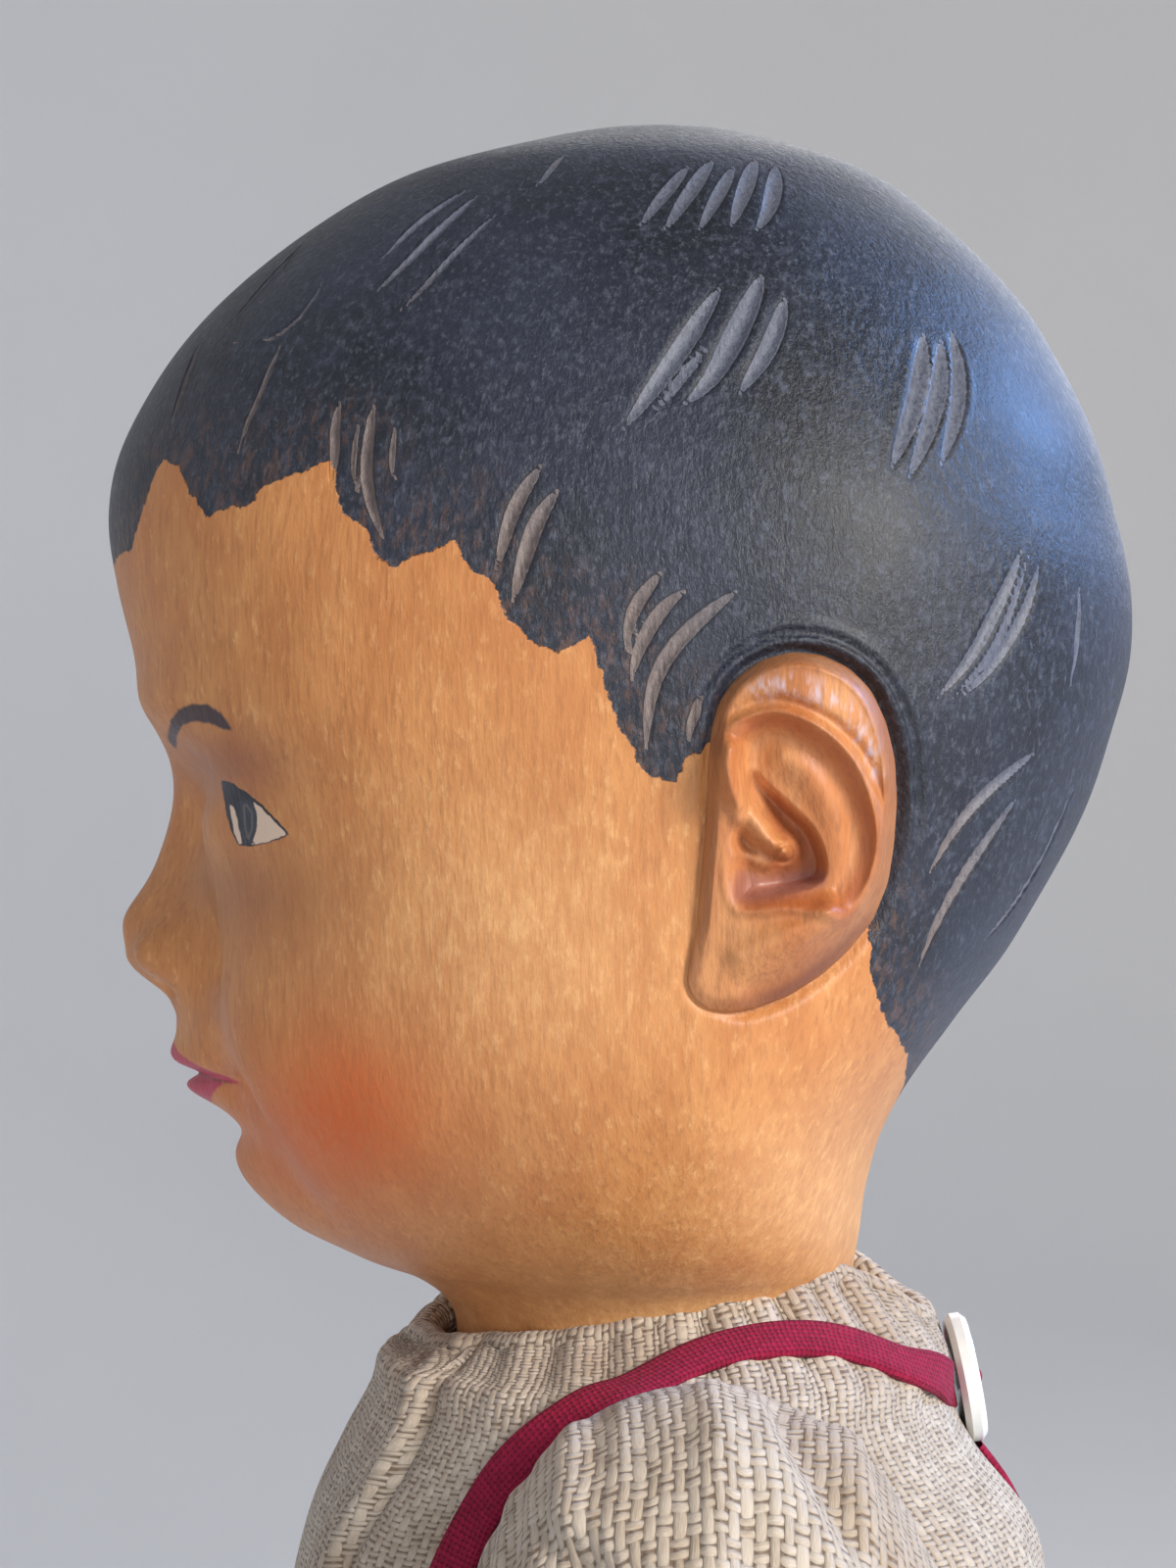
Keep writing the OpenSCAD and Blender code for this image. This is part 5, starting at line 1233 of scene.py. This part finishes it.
def hand_grid(n=96, m=70):
    b = np.linspace(0, 2 * np.pi, n, endpoint=False)
    rings = []
    for share, wide, thick, cuts in curve_rows(HAND, m):
        wide, thick = wide * PALM, thick * PALM
        y = -wide * np.sin(b)
        cut = 1.1 * cuts * np.abs(np.sin(2 * np.pi * y / wide)) ** 6 * np.abs(np.cos(b))
        x = (thick * np.abs(np.cos(b)) ** 0.8 - cut) * np.sign(np.cos(b))
        tips = 0.9 * max(0, (share - 0.9) / 0.1) * (y / max(wide, 0.1)) ** 2
        rings.append(np.stack([-x - 3.2 * share * share, y, tips - share * HAND_LEN - FOREARM], -1))
    return np.array(rings)


def thumb_grid(n=40, m=24):
    b = np.linspace(0, 2 * np.pi, n, endpoint=False)
    return np.array([np.stack([-r * 27 * np.cos(b) - 1.6, -r * 30 * np.sin(b) - forward * HAND_LEN,
                               r * 15 * np.sin(b) - share * HAND_LEN - FOREARM], -1)
                     for share, forward, r in curve_rows(THUMB, m)])


def shoe_grid(n=128, m=60):
    b = np.linspace(0, 2 * np.pi, n, endpoint=False)
    k = corner(b, 2.5)
    rows = curve_rows(SHOE, m)
    rows = np.vstack([rows[:4], WELT, rows[np.searchsorted(rows[:, 0], 0.14):]])
    rings = []
    for share, front, back, wide in rows:
        y = -np.where(np.cos(b) > 0, front, back) * SHOE_LEN * np.cos(b) * k
        rings.append(np.stack([wide * SHOE_HALF * np.sin(b) * k, y, np.full(n, share * SHOE_H - KNEE_Z)], -1))
    return np.array(rings)


def to_arm(P):
    """From the elbow's own frame to the slanted arm's."""
    x, z = P[..., 0], P[..., 2] - UPPER_ARM
    c, s = math.cos(ARM_SLANT), math.sin(ARM_SLANT)
    return np.stack([SHOULDER_X + x * c - z * s, SHOULDER_Y + P[..., 1], SHOULDER_Z + x * s + z * c], -1)


def make_limb(name, grids, body, way, paint):
    """Joins grids, each with the way that its faces turn, into one carved piece."""
    parts = []
    for k, (P, flip) in enumerate(grids):
        P = P if way > 0 else mirrored(P)
        parts.append(grid_mesh(f"{name}_{k}", P, caps=(True, True), flip=flip ^ (way < 0)))
    chosen = dict(active_object=parts[0], selected_editable_objects=parts, selected_objects=parts)
    with bpy.context.temp_override(**chosen):
        bpy.ops.object.join()
    ob = parts[0]
    ob.name = name
    ob.data.materials.append(paint)
    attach(ob, body)
    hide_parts(body)


def make_limbs():
    arm_shape = [(8.1, -17.6), (6.05, -36.1), (5.4, -FOREARM), (5.5, -FOREARM - 3)]
    leg_shape = [(10.3, -ANKLE * .34), (9.7, -ANKLE * .55), (7.1, -ANKLE * .84), (6.7, -ANKLE * .95),
                 (7.2, -ANKLE - 6)]
    arm_cope, leg_cope = ELBOW_R + 0.3, KNEE_R + 0.3
    arm = lathe(limb_profile(ELBOW_R * .9, arm_cope, arm_shape, 34, -FOREARM - 3))
    shin = lathe(limb_profile(KNEE_R * .88, leg_cope, leg_shape, 40, -ANKLE - 6))
    arm_grids = [(to_arm(P), flip) for P, flip in (
        (bevelled(arm, arm_cope, ELBOW_BEND, -1), True), (hand_grid(), False), (thumb_grid(), False),
        (tongue_grid(ELBOW_R * .72, 12.5), False))]
    leg_grids = [(P + [HIP_X, 0, KNEE_Z], flip) for P, flip in (
        (bevelled(shin, leg_cope, KNEE_BEND, 1), True), (shoe_grid(), False),
        (tongue_grid(KNEE_R * .72, 14.5), False))]
    paint, leg_colours = limb_paint(), leg_paint()
    for side, way in SIDES:
        make_limb("forearm_carved_" + side, arm_grids, "forearm_" + side, way, paint)
        make_limb("lower_leg_carved_" + side, leg_grids, "lower_leg_" + side, way, leg_colours)


# The solids that show themselves
WOODEN = ("torso", "upper_arm_left", "upper_arm_right", "thigh_left", "thigh_right")
PEGS = ("neck_dowel", "neck_retaining_peg", "hip_dowel", "shoulder_peg_left", "shoulder_peg_right",
        "elbow_peg_left", "elbow_peg_right", "knee_peg_left", "knee_peg_right")


def button_material():
    n = Nodes("white_button")
    cloud = n.noise(n.coords(), 500, 3, 0.5)
    n.set(Base_Color=n.mix(n.band(cloud, 0.3, 0.7), lin(226, 228, 226), lin(238, 238, 234)), Coat_Weight=0.4,
          Roughness=n.band(cloud, 0.3, 0.7, 0.14, 0.24), Normal=n.bump(cloud, 0.05 * MM, 0.3))
    return n.mat


def colour_solids():
    wood = bare_wood("bare_wood", lin(214, 170, 118), lin(186, 136, 86))
    peg = bare_wood("peg_wood", lin(176, 126, 78), lin(138, 92, 54), 1.6, (0.12, 1, 1))
    for names, mat in ((WOODEN, wood), (PEGS, peg), (["back_button"], button_material())):
        for name in names:
            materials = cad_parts[name].data.materials
            materials.clear()
            materials.append(mat)


# Crimson thread through the button's two holes
HOLE_X, STITCH_RISE, BUTTON_THICK = 1.5, 0.95, 1.8
THREAD_THIN, THREAD_WIDE = 0.42, 0.62


def make_thread():
    lo, hi = [np.array(v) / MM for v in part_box("back_button")]
    mid, size = (lo + hi) / 2, hi - lo
    lean = math.atan2(size[1] - BUTTON_THICK, size[2]) * 0.97
    out = np.array([0, math.cos(lean), math.sin(lean)])
    up = np.array([0, -out[2], out[1]])
    w = np.linspace(0, 2 * np.pi, 16, endpoint=False)[:, None]
    rows = []
    for v in np.linspace(0, math.pi, 15):
        p = mid + [HOLE_X * math.cos(v), 0, 0] + out * (0.1 + STITCH_RISE * math.sin(v) ** 0.6)
        tangent = unit(np.array([-math.sin(v), 0, 0]) + out * math.cos(v) * 0.6)
        side = unit(np.cross(up, tangent))
        rows.append(p + side * np.cos(w) * THREAD_THIN + np.cross(tangent, side) * np.sin(w) * THREAD_WIDE)
    thread = grid_mesh("button_thread", np.array(rows), caps=(True, True))
    n = Nodes("crimson_thread")
    fibre = n.noise(n.coords(), 6000, 3, 0.7)
    n.set(Base_Color=n.mix(n.band(fibre, 0.35, 0.7), lin(118, 18, 42), lin(160, 40, 66)), Roughness=0.85,
          Normal=n.bump(fibre, 0.1 * MM, 0.8))
    thread.data.materials.append(n.mat)
    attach(thread, "body")


# Stage, light and camera, in metres
FLOOR_R, COVE_R, WALL_Z = 1.1, 0.5, 2.6
WARM = (1.0, 0.97, 0.93)
# name, place, aim, power, size and colour
LAMPS = [("key", (0.80, 0.80, 0.76), (0, 0, 0.33), 17.0, 0.5, WARM),
         ("fill", (1.1, -0.30, 0.42), (0, 0, 0.30), 1.9, 0.9, WARM),
         ("back_blue", (-0.32, 0.70, 0.74), (0, 0.01, 0.37), 5.6, 0.2, (0.22, 0.46, 1.0)),
         ("far_side", (-1.0, 0.3, 0.8), (0, 0, 0.30), 3.6, 0.8, (1, 1, 1))]


def make_stage():
    cove = [(FLOOR_R + COVE_R * math.sin(v), COVE_R - COVE_R * math.cos(v))
            for v in np.linspace(0.12, math.pi / 2, 14)]
    turns = np.linspace(0, 2 * np.pi, 96, endpoint=False)
    sheet = [[(r * math.cos(v), r * math.sin(v), z) for v in turns]
             for r, z in [(0.0001, 0), (FLOOR_R, 0), *cove, (FLOOR_R + COVE_R, WALL_Z)]]
    floor = grid_mesh("studio_floor", np.array(sheet) / MM)
    n = Nodes("pale_stage")
    tone = n.band(n.noise(n.coords(), 3, 3), 0.3, 0.7)
    n.set(Base_Color=n.mix(tone, (0.70, 0.695, 0.69), (0.72, 0.715, 0.71)), Roughness=0.9)
    floor.data.materials.append(n.mat)


def make_lamp(name, place, aim, power, size, colour):
    data = bpy.data.lights.new(name, "AREA")
    data.shape = "DISK"
    data.size = size
    data.energy = power
    data.color = colour
    ob = bpy.data.objects.new(name, data)
    ob.location = place
    ob.rotation_euler = Vector(np.subtract(aim, place)).to_track_quat("-Z", "Y").to_euler()
    bpy.context.scene.collection.objects.link(ob)


def make_world():
    world = bpy.data.worlds.new("studio")
    bpy.context.scene.world = world
    world.use_nodes = True
    sky = world.node_tree.nodes["Background"]
    sky.inputs["Color"].default_value = (0.95, 0.97, 1.0, 1)
    sky.inputs["Strength"].default_value = 0.22


def make_camera():
    data = bpy.data.cameras.new("camera")
    data.sensor_fit = "VERTICAL"
    data.sensor_height = 24
    data.lens = data.sensor_height * CAM_DIST / (PICTURE_H / PX)
    data.clip_start = 0.01
    data.clip_end = 20
    camera = bpy.data.objects.new("camera", data)
    bpy.context.scene.collection.objects.link(camera)
    camera.location = (CAM_DIST * MM, AIM[1] * MM, AIM[2] * MM)
    camera.rotation_euler = (math.pi / 2, 0, math.pi / 2)
    bpy.context.scene.camera = camera
    bpy.context.scene.view_settings.view_transform = "Standard"


make_head()
make_ears()
make_shirt()
make_border("placket_border_left", 1)
make_border("placket_border_right", -1)
make_sleeves()
make_tape("brace_tape_left", "brace_left", WAY, 160)
make_tape("brace_tape_right", "brace_right", WAY, 160, mirror=True)
make_tape("brace_tape_tail", "brace_tail", TAIL, 60)
make_trousers()
make_limbs()
colour_solids()
make_thread()
make_stage()
make_world()
for row in LAMPS:
    make_lamp(*row)
make_camera()
